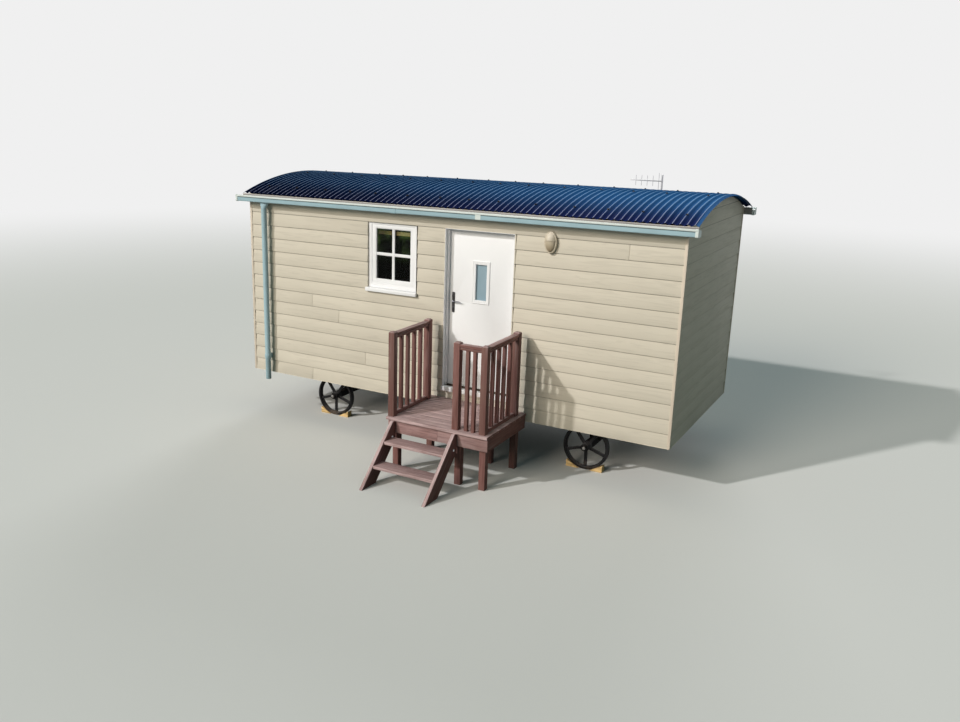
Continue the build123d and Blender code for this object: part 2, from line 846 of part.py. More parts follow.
# Aerial on a pole at the rear wall, its brackets bearing on the boards' lower edges
aerial_centre = half_length - aerial_end_distance
aerial_top_height = eaves_height + roof_rise + aerial_above_ridge
aerial_foot_height = aerial_top_height - aerial_pole_length
aerial_boom_height = aerial_top_height - aerial_boom_drop
first_bracket_course = math.ceil((aerial_foot_height - body_clearance) / course_height)
first_bracket_height = body_clearance + first_bracket_course * course_height
with BuildPart() as aerial:
    pole_y = rear_y + aerial_stand_off
    with BuildSketch(Plane.XY.offset(aerial_foot_height)):
        with Locations((aerial_centre, pole_y)):
            Circle(aerial_pole_radius)
    extrude(amount=aerial_top_height - aerial_foot_height)
    for number in range(aerial_bracket_count):
        bracket_z = first_bracket_height + number * aerial_bracket_spacing
        bar(
            (aerial_centre - aerial_pole_radius, aerial_centre + aerial_pole_radius),
            (rear_y - cladding_set_back, pole_y),
            (bracket_z, bracket_z + 2 * aerial_pole_radius),
        )
    bar(
        (aerial_centre - aerial_boom_length, aerial_centre + aerial_boom_size),
        across(pole_y, aerial_boom_size),
        across(aerial_boom_height, aerial_boom_size),
    )
    rod_step = (aerial_boom_length - aerial_first_rod) / len(aerial_rod_lengths)
    for number, rod_length in enumerate(aerial_rod_lengths):
        with BuildSketch(Plane.XY.offset(aerial_boom_height - rod_length / 2)):
            with Locations((aerial_centre - aerial_first_rod - number * rod_step, pole_y)):
                RegularPolygon(aerial_rod_radius, 6)
        extrude(amount=rod_length)
finish(aerial.part, "aerial")

# Entry platform: deck boards on a rim with legs in its corners
deck_left = door_left - deck_past_door_left
deck_right = door_right + deck_past_door_right
deck_height = floor_top - deck_drop
deck_rear = front_y + cladding_set_back - seat_gap
deck_front = front_y - deck_depth
board_count = int((deck_rear - deck_front + deck_board_gap) // (deck_board_width + deck_board_gap))
deck_under = deck_height - deck_board_thickness
with BuildPart() as platform_deck:
    for number in range(board_count):
        board_front = deck_front + number * (deck_board_width + deck_board_gap)
        board_rear = deck_rear if number == board_count - 1 else board_front + deck_board_width
        bar((deck_left, deck_right), (board_front, board_rear), (deck_under, deck_height))
finish(platform_deck.part, "platform_deck")

rim_left = deck_left + deck_side_reveal
rim_right = deck_right - deck_side_reveal
rim_front = deck_front + deck_nosing
rim_bottom = deck_under - rim_depth
with BuildPart() as platform_frame:
    bar((rim_left, rim_right), (rim_front, deck_rear), (rim_bottom, deck_under))
    bay_width = (rim_right - rim_left - rim_thickness) / joist_bay_count
    for number in range(joist_bay_count):
        bay_left = rim_left + rim_thickness + number * bay_width
        bar(
            (bay_left, bay_left + bay_width - rim_thickness),
            (rim_front + rim_thickness, deck_rear - rim_thickness),
            (rim_bottom, deck_under),
            mode=Mode.SUBTRACT,
        )
finish(platform_frame.part, "platform_frame")

leg_front_y = rim_front + rim_thickness + leg_size / 2 + seat_gap
leg_rear_y = deck_rear - rim_thickness - rear_leg_inset - leg_size / 2
leg_left_x = rim_left + rim_thickness + leg_size / 2 + seat_gap
leg_right_x = rim_right - rim_thickness - leg_size / 2 - seat_gap
middle_leg_centre = deck_right - middle_leg_distance
with BuildPart() as platform_legs:
    for leg_x in (leg_left_x, middle_leg_centre, leg_right_x):
        for leg_y in (leg_front_y, leg_rear_y):
            bar(across(leg_x, leg_size), across(leg_y, leg_size), (0, deck_under))
finish(platform_legs.part, "platform_legs")

# Railing posts with low pointed tops
stair_left = deck_left + stair_inset
stair_right = stair_left + stair_width
newel_centre = stair_right - newel_inset
post_left_x = deck_left + post_left_inset + post_size / 2
post_right_x = deck_right - post_right_inset - post_size / 2
post_front_y = rim_front + post_size / 2
post_rear_y = deck_rear - post_rear_inset - post_size / 2
post_places = (
    (post_left_x, post_front_y),
    (newel_centre, post_front_y),
    (post_right_x, post_front_y),
    (post_left_x, post_rear_y),
    (post_right_x, post_rear_y),
)
post_top = deck_height + post_height
with BuildPart() as railing_posts:
    for post_x, post_y in post_places:
        bar(across(post_x, post_size), across(post_y, post_size), (deck_height, post_top - post_point))
        with BuildSketch(Plane.XY.offset(post_top - post_point)):
            with Locations((post_x, post_y)):
                Rectangle(post_size, post_size)
        with BuildSketch(Plane.XY.offset(post_top)):
            with Locations((post_x, post_y)):
                Rectangle(post_peak_size, post_peak_size)
        loft(ruled=True)
finish(railing_posts.part, "railing_posts")

# Railing panels: a cap rail over a grooved sub-rail, square balusters and, at the sides, a bottom rail
cap_top = deck_height + rail_cap_top
groove_top = cap_top - rail_cap_depth
sub_rail_top = groove_top - rail_groove_depth
sub_rail_bottom = sub_rail_top - sub_rail_depth
bottom_rail_top = deck_height + bottom_rail_depth
top_rail_layers = (
    (rail_cap_width, groove_top, cap_top),
    (baluster_size, sub_rail_top, groove_top),
    (sub_rail_width, sub_rail_bottom, sub_rail_top),
)


def side_panel(post_x):
    """One side railing between the front and the rear post."""
    span = (post_front_y + post_size / 2 + seat_gap, post_rear_y - post_size / 2 - seat_gap)
    for width, bottom, top in top_rail_layers:
        bar(across(post_x, width), span, (bottom, top))
    bar(across(post_x, baluster_size), span, (deck_height, bottom_rail_top))
    pitch = (span[1] - span[0]) / (side_baluster_count + 1)
    for number in range(side_baluster_count):
        bar(
            across(post_x, baluster_size),
            across(span[0] + (number + 1) * pitch, baluster_size),
            (bottom_rail_top, sub_rail_bottom),
        )


with BuildPart() as left_railing:
    side_panel(post_left_x)
finish(left_railing.part, "left_railing")

with BuildPart() as right_railing:
    side_panel(post_right_x)
finish(right_railing.part, "right_railing")

with BuildPart() as front_railing:
    span = (newel_centre + post_size / 2 + seat_gap, post_right_x - post_size / 2 - seat_gap)
    for width, bottom, top in top_rail_layers:
        bar(span, across(post_front_y, width), (bottom, top))
    pitch = (span[1] - span[0]) / (front_baluster_count + 1)
    for number in range(front_baluster_count):
        bar(
            across(span[0] + (number + 1) * pitch, baluster_size),
            across(post_front_y, baluster_size),
            (deck_height, sub_rail_bottom),
        )
finish(front_railing.part, "front_railing")

# Stair: two sloping stringers with level feet, and open treads between them
stringer_rear = rim_front - seat_gap
stringer_front = rim_front - stringer_reach
stringer_top = deck_under - seat_gap
head_front = stringer_rear - stringer_head
foot_rear = stringer_front + stringer_foot
slope = stringer_top / (head_front - stringer_front)
stringer_profile = (
    (stringer_rear, stringer_top),
    (head_front, stringer_top),
    (stringer_front, 0),
    (foot_rear, 0),
    (stringer_rear, (stringer_rear - foot_rear) * slope),
)
with BuildPart() as stair_stringers:
    for stringer_x in (stair_left, stair_right - stringer_thickness):
        with BuildSketch(Plane.YZ.offset(stringer_x)):
            with BuildLine():
                Polyline(stringer_profile, close=True)
            make_face()
        extrude(amount=stringer_thickness)
finish(stair_stringers.part, "stair_stringers")

tread_count = math.ceil(deck_height / riser_limit) - 1
riser = deck_height / (tread_count + 1)
with BuildPart() as stair_treads:
    for number in range(tread_count):
        tread_top = riser * (tread_count - number)
        tread_front = stringer_front + tread_top / slope
        bar(
            (
                stair_left + stringer_thickness + tread_seat_gap,
                stair_right - stringer_thickness - tread_seat_gap,
            ),
            (tread_front, tread_front + tread_depth),
            (tread_top - tread_thickness, tread_top),
        )
finish(stair_treads.part, "stair_treads")
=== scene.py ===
"""Dresses a shepherds hut: lapped boards, a barrel roof, joinery, spoked wheels and a timber platform."""

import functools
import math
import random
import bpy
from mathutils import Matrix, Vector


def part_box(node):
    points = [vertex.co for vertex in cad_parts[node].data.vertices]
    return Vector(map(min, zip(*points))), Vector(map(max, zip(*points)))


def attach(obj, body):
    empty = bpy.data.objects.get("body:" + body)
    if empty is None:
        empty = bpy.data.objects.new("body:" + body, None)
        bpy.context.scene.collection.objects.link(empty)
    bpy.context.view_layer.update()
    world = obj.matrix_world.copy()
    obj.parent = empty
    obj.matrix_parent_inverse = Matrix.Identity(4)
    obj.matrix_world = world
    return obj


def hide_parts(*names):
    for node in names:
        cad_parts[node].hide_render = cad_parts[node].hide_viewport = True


bl_info = {
    "name": "Shepherds Hut",
    "version": (1, 0, 0),
    "blender": (4, 5, 0),
    "location": "View3D > Sidebar > Hut",
    "description": "Builds the finished pieces of a timber-clad hut on wheels around its construction model",
    "category": "Add Mesh",
}

import bmesh
import bpy
from mathutils import Euler, Matrix, Vector

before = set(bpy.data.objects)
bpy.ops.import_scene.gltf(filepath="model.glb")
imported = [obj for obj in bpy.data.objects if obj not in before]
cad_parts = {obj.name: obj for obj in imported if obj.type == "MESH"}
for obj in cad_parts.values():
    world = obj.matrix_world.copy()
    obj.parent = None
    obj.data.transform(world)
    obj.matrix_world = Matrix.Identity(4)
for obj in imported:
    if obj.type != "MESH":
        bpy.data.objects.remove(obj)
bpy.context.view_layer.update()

# Faces and openings of the hut, as the construction model has them
BODY_LOW, BODY_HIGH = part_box("corner_trims")
LEFT, FRONT, FOOT = BODY_LOW
RIGHT, REAR, _ = BODY_HIGH
CENTRE_Y = (FRONT + REAR) / 2
SHEET_LOW, SHEET_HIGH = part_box("roof_sheet")
DECK_LOW, DECK_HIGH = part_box("platform_deck")
LAMP_LOW, LAMP_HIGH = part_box("wall_lamp")
WINDOW_LOW, WINDOW_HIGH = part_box("window_frame")
SILL_LOW, SILL_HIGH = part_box("window_sill")
DOOR_LOW, DOOR_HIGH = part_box("door_frame")
CILL_LOW, CILL_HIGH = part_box("door_cill")
LEAF_LOW, LEAF_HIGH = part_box("door_leaf")
WINDOW_HOLE = ((WINDOW_LOW.x, WINDOW_HIGH.x), (SILL_LOW.z, WINDOW_HIGH.z))
DOOR_HOLE = ((DOOR_LOW.x, DOOR_HIGH.x), (CILL_LOW.z, DOOR_HIGH.z))

# Gutters: how far their faces lie inside the union bands, the front lip's depth and foot, the union's place
UNION_RELIEF, LIP_DEPTH = 0.004, 0.020
GUTTER_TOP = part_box("front_gutter")[1].z
LIP_FOOT = GUTTER_TOP - UNION_RELIEF - LIP_DEPTH
UNION_PLACE = 0.560

# Butt joints: the course, and the place across the wall
FRONT_BUTTS = {6: (-1.874,), 5: (-1.452,), 2: (-1.042,), 0: (-1.880,), 12: (2.269,)}
REAR_BUTTS = {1: (-1.3,), 3: (1.6,), 5: (0.1,), 8: (-0.7,), 11: (1.2,)}

# Railings: width of each layer of the top rail with its upper and lower side under the rail's top
RAIL_LAYERS = ((0.070, 0.0, 0.030), (0.040, 0.030, 0.039), (0.056, 0.039, 0.061))
BALUSTER, BOTTOM_RAIL = 0.040, 0.043

# Degrees that the stringers' grain is turned from y
STAIR_SLOPE = -44.7


def barrel():
    """Radius of the roof's crowns and the height of the barrel's axis, from the sheet's chord and rise."""
    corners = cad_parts["roof_sheet"].data.vertices
    eaves = max(corner.co.z for corner in corners if corner.co.y > SHEET_HIGH.y - 0.001)
    rise = SHEET_HIGH.z - eaves
    half_chord = SHEET_HIGH.y - CENTRE_Y
    radius = (half_chord**2 + rise**2) / (2 * rise)
    return radius, SHEET_HIGH.z - radius


ROOF_RADIUS, ROOF_AXIS_Z = barrel()


def srgb(red, green, blue):
    """A colour as it looks on screen, 0 to 255, as Blender's linear values."""

    def linear(value):
        share = value / 255
        return share / 12.92 if share <= 0.04045 else ((share + 0.055) / 1.055) ** 2.4

    return (linear(red), linear(green), linear(blue))


def colour_property(name, description, red, green, blue):
    """A colour that a user may change, with its default as it looks on screen."""
    default = srgb(red, green, blue)
    return bpy.props.FloatVectorProperty(
        name=name, description=description, subtype="COLOR", size=3, min=0, max=1, default=default
    )


def length_property(name, description, default):
    """A length in metres that a user may change."""
    return bpy.props.FloatProperty(name=name, description=description, default=default, min=0, unit="LENGTH")


def strength_property(name, description, default):
    """A strength of light that a user may change."""
    return bpy.props.FloatProperty(name=name, description=description, default=default, min=0)


class HutColours(bpy.types.PropertyGroup):
    """Colours of the hut's finishes."""

    boards: colour_property("Boards", "Paint on the lapped boards", 210, 202, 187)
    trim: colour_property("Trim", "Paint on the corner beads", 212, 199, 183)
    fascia: colour_property("Fascia", "Paint on the fascia boards", 234, 226, 222)
    roof: colour_property("Roof", "Coating of the roof sheet near the eaves", 6, 14, 40)
    # Colour near the ridge: the coating grows lighter from the eaves up
    roof_ridge: colour_property("Roof ridge", "Cleaner coating near the ridge", 8, 32, 68)
    # Colour of the painted highlight along the crowns near the ridge
    roof_crown_highlight: colour_property("Roof crowns", "Chalked coating on the sheet's crowns", 124, 164, 208)
    # Dusty colour of the patches, and of the painted highlight along the crowns near the eaves
    roof_dust_and_highlight: colour_property("Roof dust", "Dusty crowns near the eaves", 138, 142, 170)
    rainwater: colour_property("Rainwater goods", "Coating on the gutters and the pipe", 156, 184, 194)
    joinery: colour_property("Joinery", "Paint on the door and the window", 235, 235, 237)
    stain: colour_property("Stain", "Stain on the platform's sheltered faces", 138, 97, 92)
    # Paler stain of the tops and front faces: weather wear and painted light together
    stain_worn_and_lit: colour_property("Worn stain", "Stain bleached by the weather", 200, 176, 176)
    pine: colour_property("Pine", "Bare sawn timber of the wheel chocks", 234, 198, 140)
    lamp: colour_property("Lamp", "Coating of the wall light", 198, 186, 166)
    inside: colour_property("Inside", "Dark stained boards of the hut's inside", 74, 66, 58)


class HutSizes(bpy.types.PropertyGroup):
    """Sizes of the details that the construction model leaves out."""

    course: length_property("Course", "Height of one lapped board to the weather", 0.165)
    lap: length_property("Lap", "How far each board leans out to its lower edge", 0.010)
    board_set_back: length_property("Board set-back", "From the trims' faces to the boards' feet", 0.002)
    board_depth: length_property("Board depth", "From the trims' faces to the boards' backs", 0.030)
    butt_gap: length_property("Butt gap", "Open joint between two boards of one course", 0.003)
    edge: length_property("Edge", "Rounding of painted timber edges", 0.0015)
    stained_edge: length_property("Stained edge", "Rounding of the platform's timber edges", 0.003)
    pitch: length_property("Corrugation pitch", "From crown to crown of the roof sheet", 0.076)
    depth: length_property("Corrugation depth", "Height of the crowns over the valleys", 0.018)
    sheet: length_property("Sheet", "Thickness of the roof sheet", 0.0016)


class HutStudio(bpy.types.PropertyGroup):
    """Light and background of the stage."""

    key: strength_property("Key light", "Strength of the soft sun lamp", 1.85)
    front: strength_property("Front light", "Strength of the broad front lamp", 1.6)
    back: strength_property("Back light", "Strength of the broad rear lamp", 0.9)
    ambient: strength_property("Ambient", "Strength of the even light", 0.2)
    floor: colour_property("Floor", "Colour of the studio floor", 222, 222, 220)
    floor_bounce: colour_property("Floor bounce", "Light that the floor throws back", 84, 92, 80)
    fill: colour_property("Fill", "Colour of the even light", 214, 248, 248)
    background: colour_property("Background", "Colour behind the hut", 240, 240, 240)


def tints():
    """The colours, as the panel has them now."""
    return bpy.context.scene.hut_colours


def sizes():
    """The sizes, as the panel has them now."""
    return bpy.context.scene.hut_sizes


# Shapes


def add_box(bm, low, high):
    """Add a box between two opposite corners."""
    low, high = Vector(low), Vector(high)
    place = Matrix.Translation((low + high) / 2) @ Matrix.Diagonal((*(high - low), 1.0))
    bmesh.ops.create_cube(bm, size=1.0, matrix=place)


def towards(place, direction):
    """A matrix that moves a shape to a place and turns its z axis along a direction."""
    return Matrix.Translation(place) @ Vector(direction).to_track_quat("Z", "Y").to_matrix().to_4x4()


def add_rod(bm, start, end, radius, sides=16, tip=None):
    """Add a closed round bar between two points; it may taper to another radius."""
    start, end = Vector(start), Vector(end)
    bmesh.ops.create_cone(
        bm, cap_ends=True, segments=sides, radius1=radius, radius2=radius if tip is None else tip,
        depth=(end - start).length, matrix=towards((start + end) / 2, end - start),
    )


def add_dome(bm, centre, outward, radius, height, sides=10):
    """Add a low round head, such as a bolt's or a screw's, that faces outward."""
    place = towards(centre, outward) @ Matrix.Diagonal((1.0, 1.0, height / radius, 1.0))
    bmesh.ops.create_uvsphere(bm, u_segments=sides, v_segments=6, radius=radius, matrix=place)


def add_oval(bm, centre, half_sizes):
    """Add a smooth ball with a half size of its own along each axis."""
    place = Matrix.Translation(centre) @ Matrix.Diagonal((*half_sizes, 1.0))
    bmesh.ops.create_uvsphere(bm, u_segments=48, v_segments=24, radius=1.0, matrix=place)


def add_panel(bm, x_span, z_span, y):
    """Add a flat upright face across the hut's front."""
    middle = Vector(((x_span[0] + x_span[1]) / 2, y, (z_span[0] + z_span[1]) / 2))
    size = Matrix.Diagonal((x_span[1] - x_span[0], z_span[1] - z_span[0], 1.0, 1.0))
    place = Matrix.Translation(middle) @ Matrix.Rotation(math.radians(90), 4, "X") @ size
    corners = bmesh.ops.create_grid(bm, x_segments=1, y_segments=1, size=0.5, matrix=place)["verts"]
    return corners[0].link_faces[0]


def pull(bm, faces, offset):
    """Thicken flat faces into a closed solid along an offset."""
    made = bmesh.ops.extrude_face_region(bm, geom=faces, use_keep_orig=True)
    moved = [item for item in made["geom"] if isinstance(item, bmesh.types.BMVert)]
    bmesh.ops.translate(bm, verts=moved, vec=offset)


def add_ring(bm, x_span, z_span, width, y_span):
    """Add an upright flat frame: a face, inset by its width and pulled to its depth."""
    face = add_panel(bm, x_span, z_span, y_span[0])
    inset = {"thickness": width, "use_boundary": True, "use_even_offset": True}
    ring = bmesh.ops.inset_region(bm, faces=[face], **inset)["faces"]
    bmesh.ops.delete(bm, geom=[face], context="FACES_ONLY")
    pull(bm, ring, (0, y_span[1] - y_span[0], 0))


def grown(span, margin):
    """A span made longer, or shorter, by a margin at both ends."""
    return (span[0] - margin, span[1] + margin)


def cut_off(bm, place, outward):
    """Cut away what lies outside a plane."""
    geom = bm.verts[:] + bm.edges[:] + bm.faces[:]
    bmesh.ops.bisect_plane(bm, geom=geom, plane_co=place, plane_no=outward, clear_outer=True)


def round_edges(bm, width, segments=2, only=None):
    """Round the edges where faces meet at a clear angle, all of them or only some."""
    clear_angle = 0.5
    edges = [
        edge
        for edge in bm.edges
        if edge.is_manifold and edge.calc_face_angle(0) > clear_angle and (only is None or only(edge))
    ]
    bmesh.ops.bevel(
        bm, geom=edges, offset=width, offset_type="OFFSET", segments=segments, profile=0.5, affect="EDGES",
        clamp_overlap=True, material=-1,
    )


def merge_flat(bm, angle):
    """Join corners that meet, and faces that lie within an angle of each other."""
    bmesh.ops.remove_doubles(bm, verts=bm.verts, dist=1e-5)
    bmesh.ops.dissolve_limit(bm, angle_limit=angle, verts=bm.verts, edges=bm.edges)


def cad_copy(node):
    """A merged copy of a construction node's triangles, with its flat faces whole again."""
    bm = bmesh.new()
    bm.from_mesh(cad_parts[node].data)
    merge_flat(bm, math.radians(1))
    return bm


def islands(bm):
    """The loose parts of a shape, each as a list of its corners."""
    seen, found = set(), []
    for start in bm.verts:
        if start in seen:
            continue
        seen.add(start)
        group, waiting = [], [start]
        while waiting:
            corner = waiting.pop()
            group.append(corner)
            for edge in corner.link_edges:
                other = edge.other_vert(corner)
                if other not in seen:
                    seen.add(other)
                    waiting.append(other)
        found.append(group)
    return found


def extent(corners):
    """Lowest and highest corner of a group of corners."""
    low = Vector([min(corner.co[axis] for corner in corners) for axis in range(3)])
    high = Vector([max(corner.co[axis] for corner in corners) for axis in range(3)])
    return low, high


def solid_boxes(node):
    """Lowest and highest corner of each separate solid of a construction node, in order of place."""
    bm = cad_copy(node)
    boxes = [extent(group) for group in islands(bm)]
    bm.free()
    return sorted(boxes, key=lambda box: tuple(round(value, 4) for value in box[0]))


def mark_boards(bm, seed, turn_grain=True):
    """Give each loose board a tone of its own and, if asked, turn its grain along its longest side."""
    tone = bm.verts.layers.float.new("board")
    draw = random.Random(seed)
    for group in islands(bm):
        value = draw.random()
        low, high = extent(group)
        size = list(high - low)
        for corner in group:
            corner[tone] = value
            if turn_grain:
                for face in corner.link_faces:
                    face.material_index = size.index(max(size))


def add_object(name, data):
    """Put an object with some data at the scene's origin."""
    made = bpy.data.objects.new(name, data)
    bpy.context.scene.collection.objects.link(made)
    return made


def add_mesh(name, bm):
    """Turn a finished shape into an object at the origin."""
    mesh = bpy.data.meshes.new(name)
    bm.to_mesh(mesh)
    bm.free()
    return add_object(name, mesh)


def make_piece(name, bm, materials, body="hut", replaces=(), smooth=38):
    """Turn a finished shape into a piece of the hut that rides on a body."""
    bmesh.ops.recalc_face_normals(bm, faces=bm.faces)
    for face in bm.faces:
        face.smooth = True
    for edge in bm.edges:
        edge.smooth = edge.is_manifold and edge.calc_face_angle(0) < math.radians(smooth)
    piece = add_mesh(name, bm)
    for material in materials:
        piece.data.materials.append(material)
    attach(piece, body)
    if replaces:
        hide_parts(*replaces)


def rounded_copy(name, node, width, materials, body="hut", segments=2, smooth=38):
    """A construction node with its edges rounded and a finish of its own, in place of the node."""
    bm = cad_copy(node)
    round_edges(bm, width, segments)
    make_piece(name, bm, materials, body, (node,), smooth)


def timber_piece(name, bm, node, seed, materials, segments=2, turn_grain=True):
    """Round the platform's timber, give its boards their tones and put it in place of a node."""
    round_edges(bm, sizes().stained_edge, segments)
    mark_boards(bm, seed, turn_grain)
    make_piece(name, bm, materials, replaces=(node,))


# Finishes


def feed(tree, socket, value):
    """Link an output to a socket, or set the socket's own value."""
    if isinstance(value, bpy.types.NodeSocket):
        tree.links.new(value, socket)
    elif hasattr(value, "__len__") and len(value) == 3 and socket.type == "RGBA":
        socket.default_value = (*value, 1.0)
    else:
        socket.default_value = value


def add_node(tree, kind, inputs, output=0, **settings):
    """Add a shader node, set or link its inputs and return one of its outputs."""
    made = tree.nodes.new("ShaderNode" + kind)
    for word, value in settings.items():
        setattr(made, word, value)
    for key, value in inputs.items():
        feed(tree, made.inputs[key], value)
    return made.outputs[output]


def seen_rays(tree):
    """1 for rays that the viewer sees, straight, in a reflection or through glass, and 0 for the rest."""
    seen = add_node(tree, "LightPath", {}, "Is Camera Ray")
    for kind in ("Is Glossy Ray", "Is Transmission Ray"):
        ray = add_node(tree, "LightPath", {}, kind)
        seen = add_node(tree, "Math", {0: seen, 1: ray}, operation="MAXIMUM")
    return seen


SOCKETS = {
    "roughness": "Roughness",
    "metallic": "Metallic",
    "ior": "IOR",
    "specular": "Specular IOR Level",
    "transmission": "Transmission Weight",
    "alpha": "Alpha",
}


class Finish:
    """Builds one procedural material in short calls."""

    def __init__(self, name, **sockets):
        self.material = bpy.data.materials.new(name)
        self.material.use_nodes = True
        self.tree = self.material.node_tree
        self.shader = self.tree.nodes["Principled BSDF"]
        for word, value in sockets.items():
            self.shader.inputs[SOCKETS[word]].default_value = value

    def node(self, kind, inputs, output=0, **settings):
        """Add a node to the material."""
        return add_node(self.tree, kind, inputs, output, **settings)

    def tone(self):
        """The tone of the board, from 0 to 1."""
        return self.node("Attribute", {}, 2, attribute_name="board")

    def place(self, stretch=(1, 1, 1), turn=(0, 0, 0), by_board=False):
        """Object coordinates, turned and then stretched; a board's tone may shift them."""
        spot = self.node("TexCoord", {}, 3)
        if by_board:
            shift = self.math("MULTIPLY", self.tone(), 17.3)
            spot = self.node("VectorMath", {0: spot, 1: shift}, operation="ADD")
        turned = self.node("Mapping", {"Vector": spot, "Rotation": turn})
        return self.node("VectorMath", {0: turned, 1: stretch}, operation="MULTIPLY")

    def height(self, axis="Z"):
        """One of the object coordinates."""
        return self.node("SeparateXYZ", {0: self.node("TexCoord", {}, 3)}, axis)

    def facing(self, axis="Z"):
        """How far the surface faces along an axis, from -1 to 1."""
        return self.node("SeparateXYZ", {0: self.node("NewGeometry", {}, 1)}, axis)

    def noise(self, scale, detail, *place, roughness=0.55, wave=0.0, by_board=False):
        """Cloudy noise, which may be stretched, turned, shifted by board or drawn into waves."""
        inputs = {"Vector": self.place(*place, by_board=by_board), "Scale": scale, "Detail": detail}
        return self.node("TexNoise", {**inputs, "Roughness": roughness, "Distortion": wave})

    def math(self, operation, first, second=0.0):
        """One sum."""
        return self.node("Math", {0: first, 1: second}, operation=operation)

    def ease(self, value, low, high, start=0.0, end=1.0):
        """A smooth step from start at low to end at high."""
        inputs = {"Value": value, "From Min": low, "From Max": high, "To Min": start, "To Max": end}
        return self.node("MapRange", inputs, interpolation_type="SMOOTHSTEP")

    def mix(self, factor, first, second, blend="MIX"):
        """Two colours mixed."""
        return self.node("Mix", {0: factor, 6: first, 7: second}, 2, data_type="RGBA", blend_type=blend)

    def dark(self, factor, colour, share):
        """A colour brought down to a share of itself where the factor is 1."""
        return self.mix(factor, colour, (share, share, share), "MULTIPLY")

    def over(self, base, colour, *step):
        """A colour laid over a base, as a smooth step says."""
        return self.mix(self.ease(*step), base, colour)

    def shade(self, base, share, *step):
        """A colour brought down to a share of itself, as a smooth step says."""
        return self.dark(self.ease(*step), base, share)

    def done(self, colour, *bumps, rough=None):
        """Set the base colour, let the roughness vary, raise the surface and return the material."""
        feed(self.tree, self.shader.inputs["Base Color"], colour)
        if rough:
            value, low, high = rough
            feed(self.tree, self.shader.inputs["Roughness"], self.ease(value, 0.25, 0.75, low, high))
        for height, strength, distance in bumps:
            socket = self.shader.inputs["Normal"]
            inputs = {"Height": height, "Strength": strength, "Distance": distance}
            if socket.links:
                inputs["Normal"] = socket.links[0].from_socket
            feed(self.tree, socket, self.node("Bump", inputs))
        return self.material


def along(axis, lengthways, across):
    """A stretch that is fine across the grain and long with it."""
    return tuple(lengthways if number == axis else across for number in range(3))


def shares(colour, share):
    """A colour at a share of its strength."""
    return tuple(value * share for value in colour)


@functools.cache
def board_paint(axis):
    """Stone-coloured paint on boards embossed with a wood grain along x (0) or y (1)."""
    colour = tints().boards
    paint = Finish("board_paint_" + "xyz"[axis], roughness=0.6, specular=0.15)
    grain = paint.noise(1.0, 6.0, along(axis, 2.1, 34), roughness=0.62, wave=1.1, by_board=True)
    fine = paint.noise(1.0, 4.0, along(axis, 7, 240), roughness=0.5, by_board=True)
    cloud = paint.noise(1.3, 3.0)
    base = paint.over(shares(colour, 0.94), colour, cloud, 0.3, 0.7)
    base = paint.over(base, shares(colour, 0.84), grain, 0.5, 0.62, 0.0, 0.5)
    base = paint.shade(base, 0.965, paint.tone(), 0.0, 1.0, 0.5, 0.0)
    # Painted highlight: a pale lit line along the foot of the lowest course
    base = paint.over(base, srgb(236, 226, 206), paint.height(), FOOT + 0.012, FOOT + 0.006, 0.0, 0.8)
    course = paint.math("DIVIDE", paint.math("SUBTRACT", paint.height(), FOOT), sizes().course)
    share = paint.math("FRACT", course)
    # Painted shade: a dark band along the top of each course, under the lap of the board above; the next
    # line makes each board a little darker just over its foot
    base = paint.shade(base, 0.45, share, 0.93, 0.985)
    base = paint.shade(base, 0.86, share, 0.0, 0.03, 0.5, 0.0)
    splash = paint.math("MULTIPLY", paint.ease(course, 0.1, 1.6, 1.0, 0.0), paint.ease(cloud, 0.4, 0.65))
    base = paint.mix(splash, base, shares(colour, 0.84))
    return paint.done(base, (grain, 0.4, 0.0022), (fine, 0.22, 0.0006), rough=(grain, 0.5, 0.7))


def plain_paint(name, colour, roughness, speckle):
    """Brushed paint on smooth timber or metal, a little uneven, with painted shade on faces that point down.
    """
    paint = Finish(name, roughness=roughness, specular=0.3)
    cloud = paint.noise(3.2, 5.0)
    base = paint.over(colour, shares(colour, speckle), cloud, 0.35, 0.7)
    # Painted shade: darker on faces that point down
    base = paint.shade(base, 0.8, paint.facing(), -0.2, -0.9, 0.0, 0.5)
    fine = paint.noise(55.0, 3.0)
    return paint.done(base, (fine, 0.12, 0.0004), rough=(cloud, roughness - 0.08, roughness + 0.1))


@functools.cache
def trim_paint():
    """Paint on the corner beads."""
    return plain_paint("trim_paint", tints().trim, 0.55, 0.92)


@functools.cache
def joinery_paint():
    """White paint on the door and window."""
    return plain_paint("joinery_paint", tints().joinery, 0.34, 0.98)


@functools.cache
def rainwater_trim():
    """Paler coating of the gutters' lips, stop ends and unions."""
    return plain_paint("rainwater_trim", srgb(214, 222, 220), 0.4, 0.93)


@functools.cache
def fascia_paint():
    """Pinkish-white paint on the fascia boards, with painted shade low down, where the gutters hang in front
    of them.
    """
    colour = tints().fascia
    paint = Finish("fascia_paint", roughness=0.5, specular=0.2)
    cloud = paint.noise(3.2, 5.0, (1, 8, 8))
    base = paint.over(colour, shares(colour, 0.88), cloud, 0.35, 0.7)
    # Painted shade: the fascia darkens from just over the gutters' tops downward
    base = paint.shade(base, 0.36, paint.height(), GUTTER_TOP + 0.008, GUTTER_TOP - 0.001)
    return paint.done(base, (cloud, 0.1, 0.0006), rough=(cloud, 0.42, 0.6))


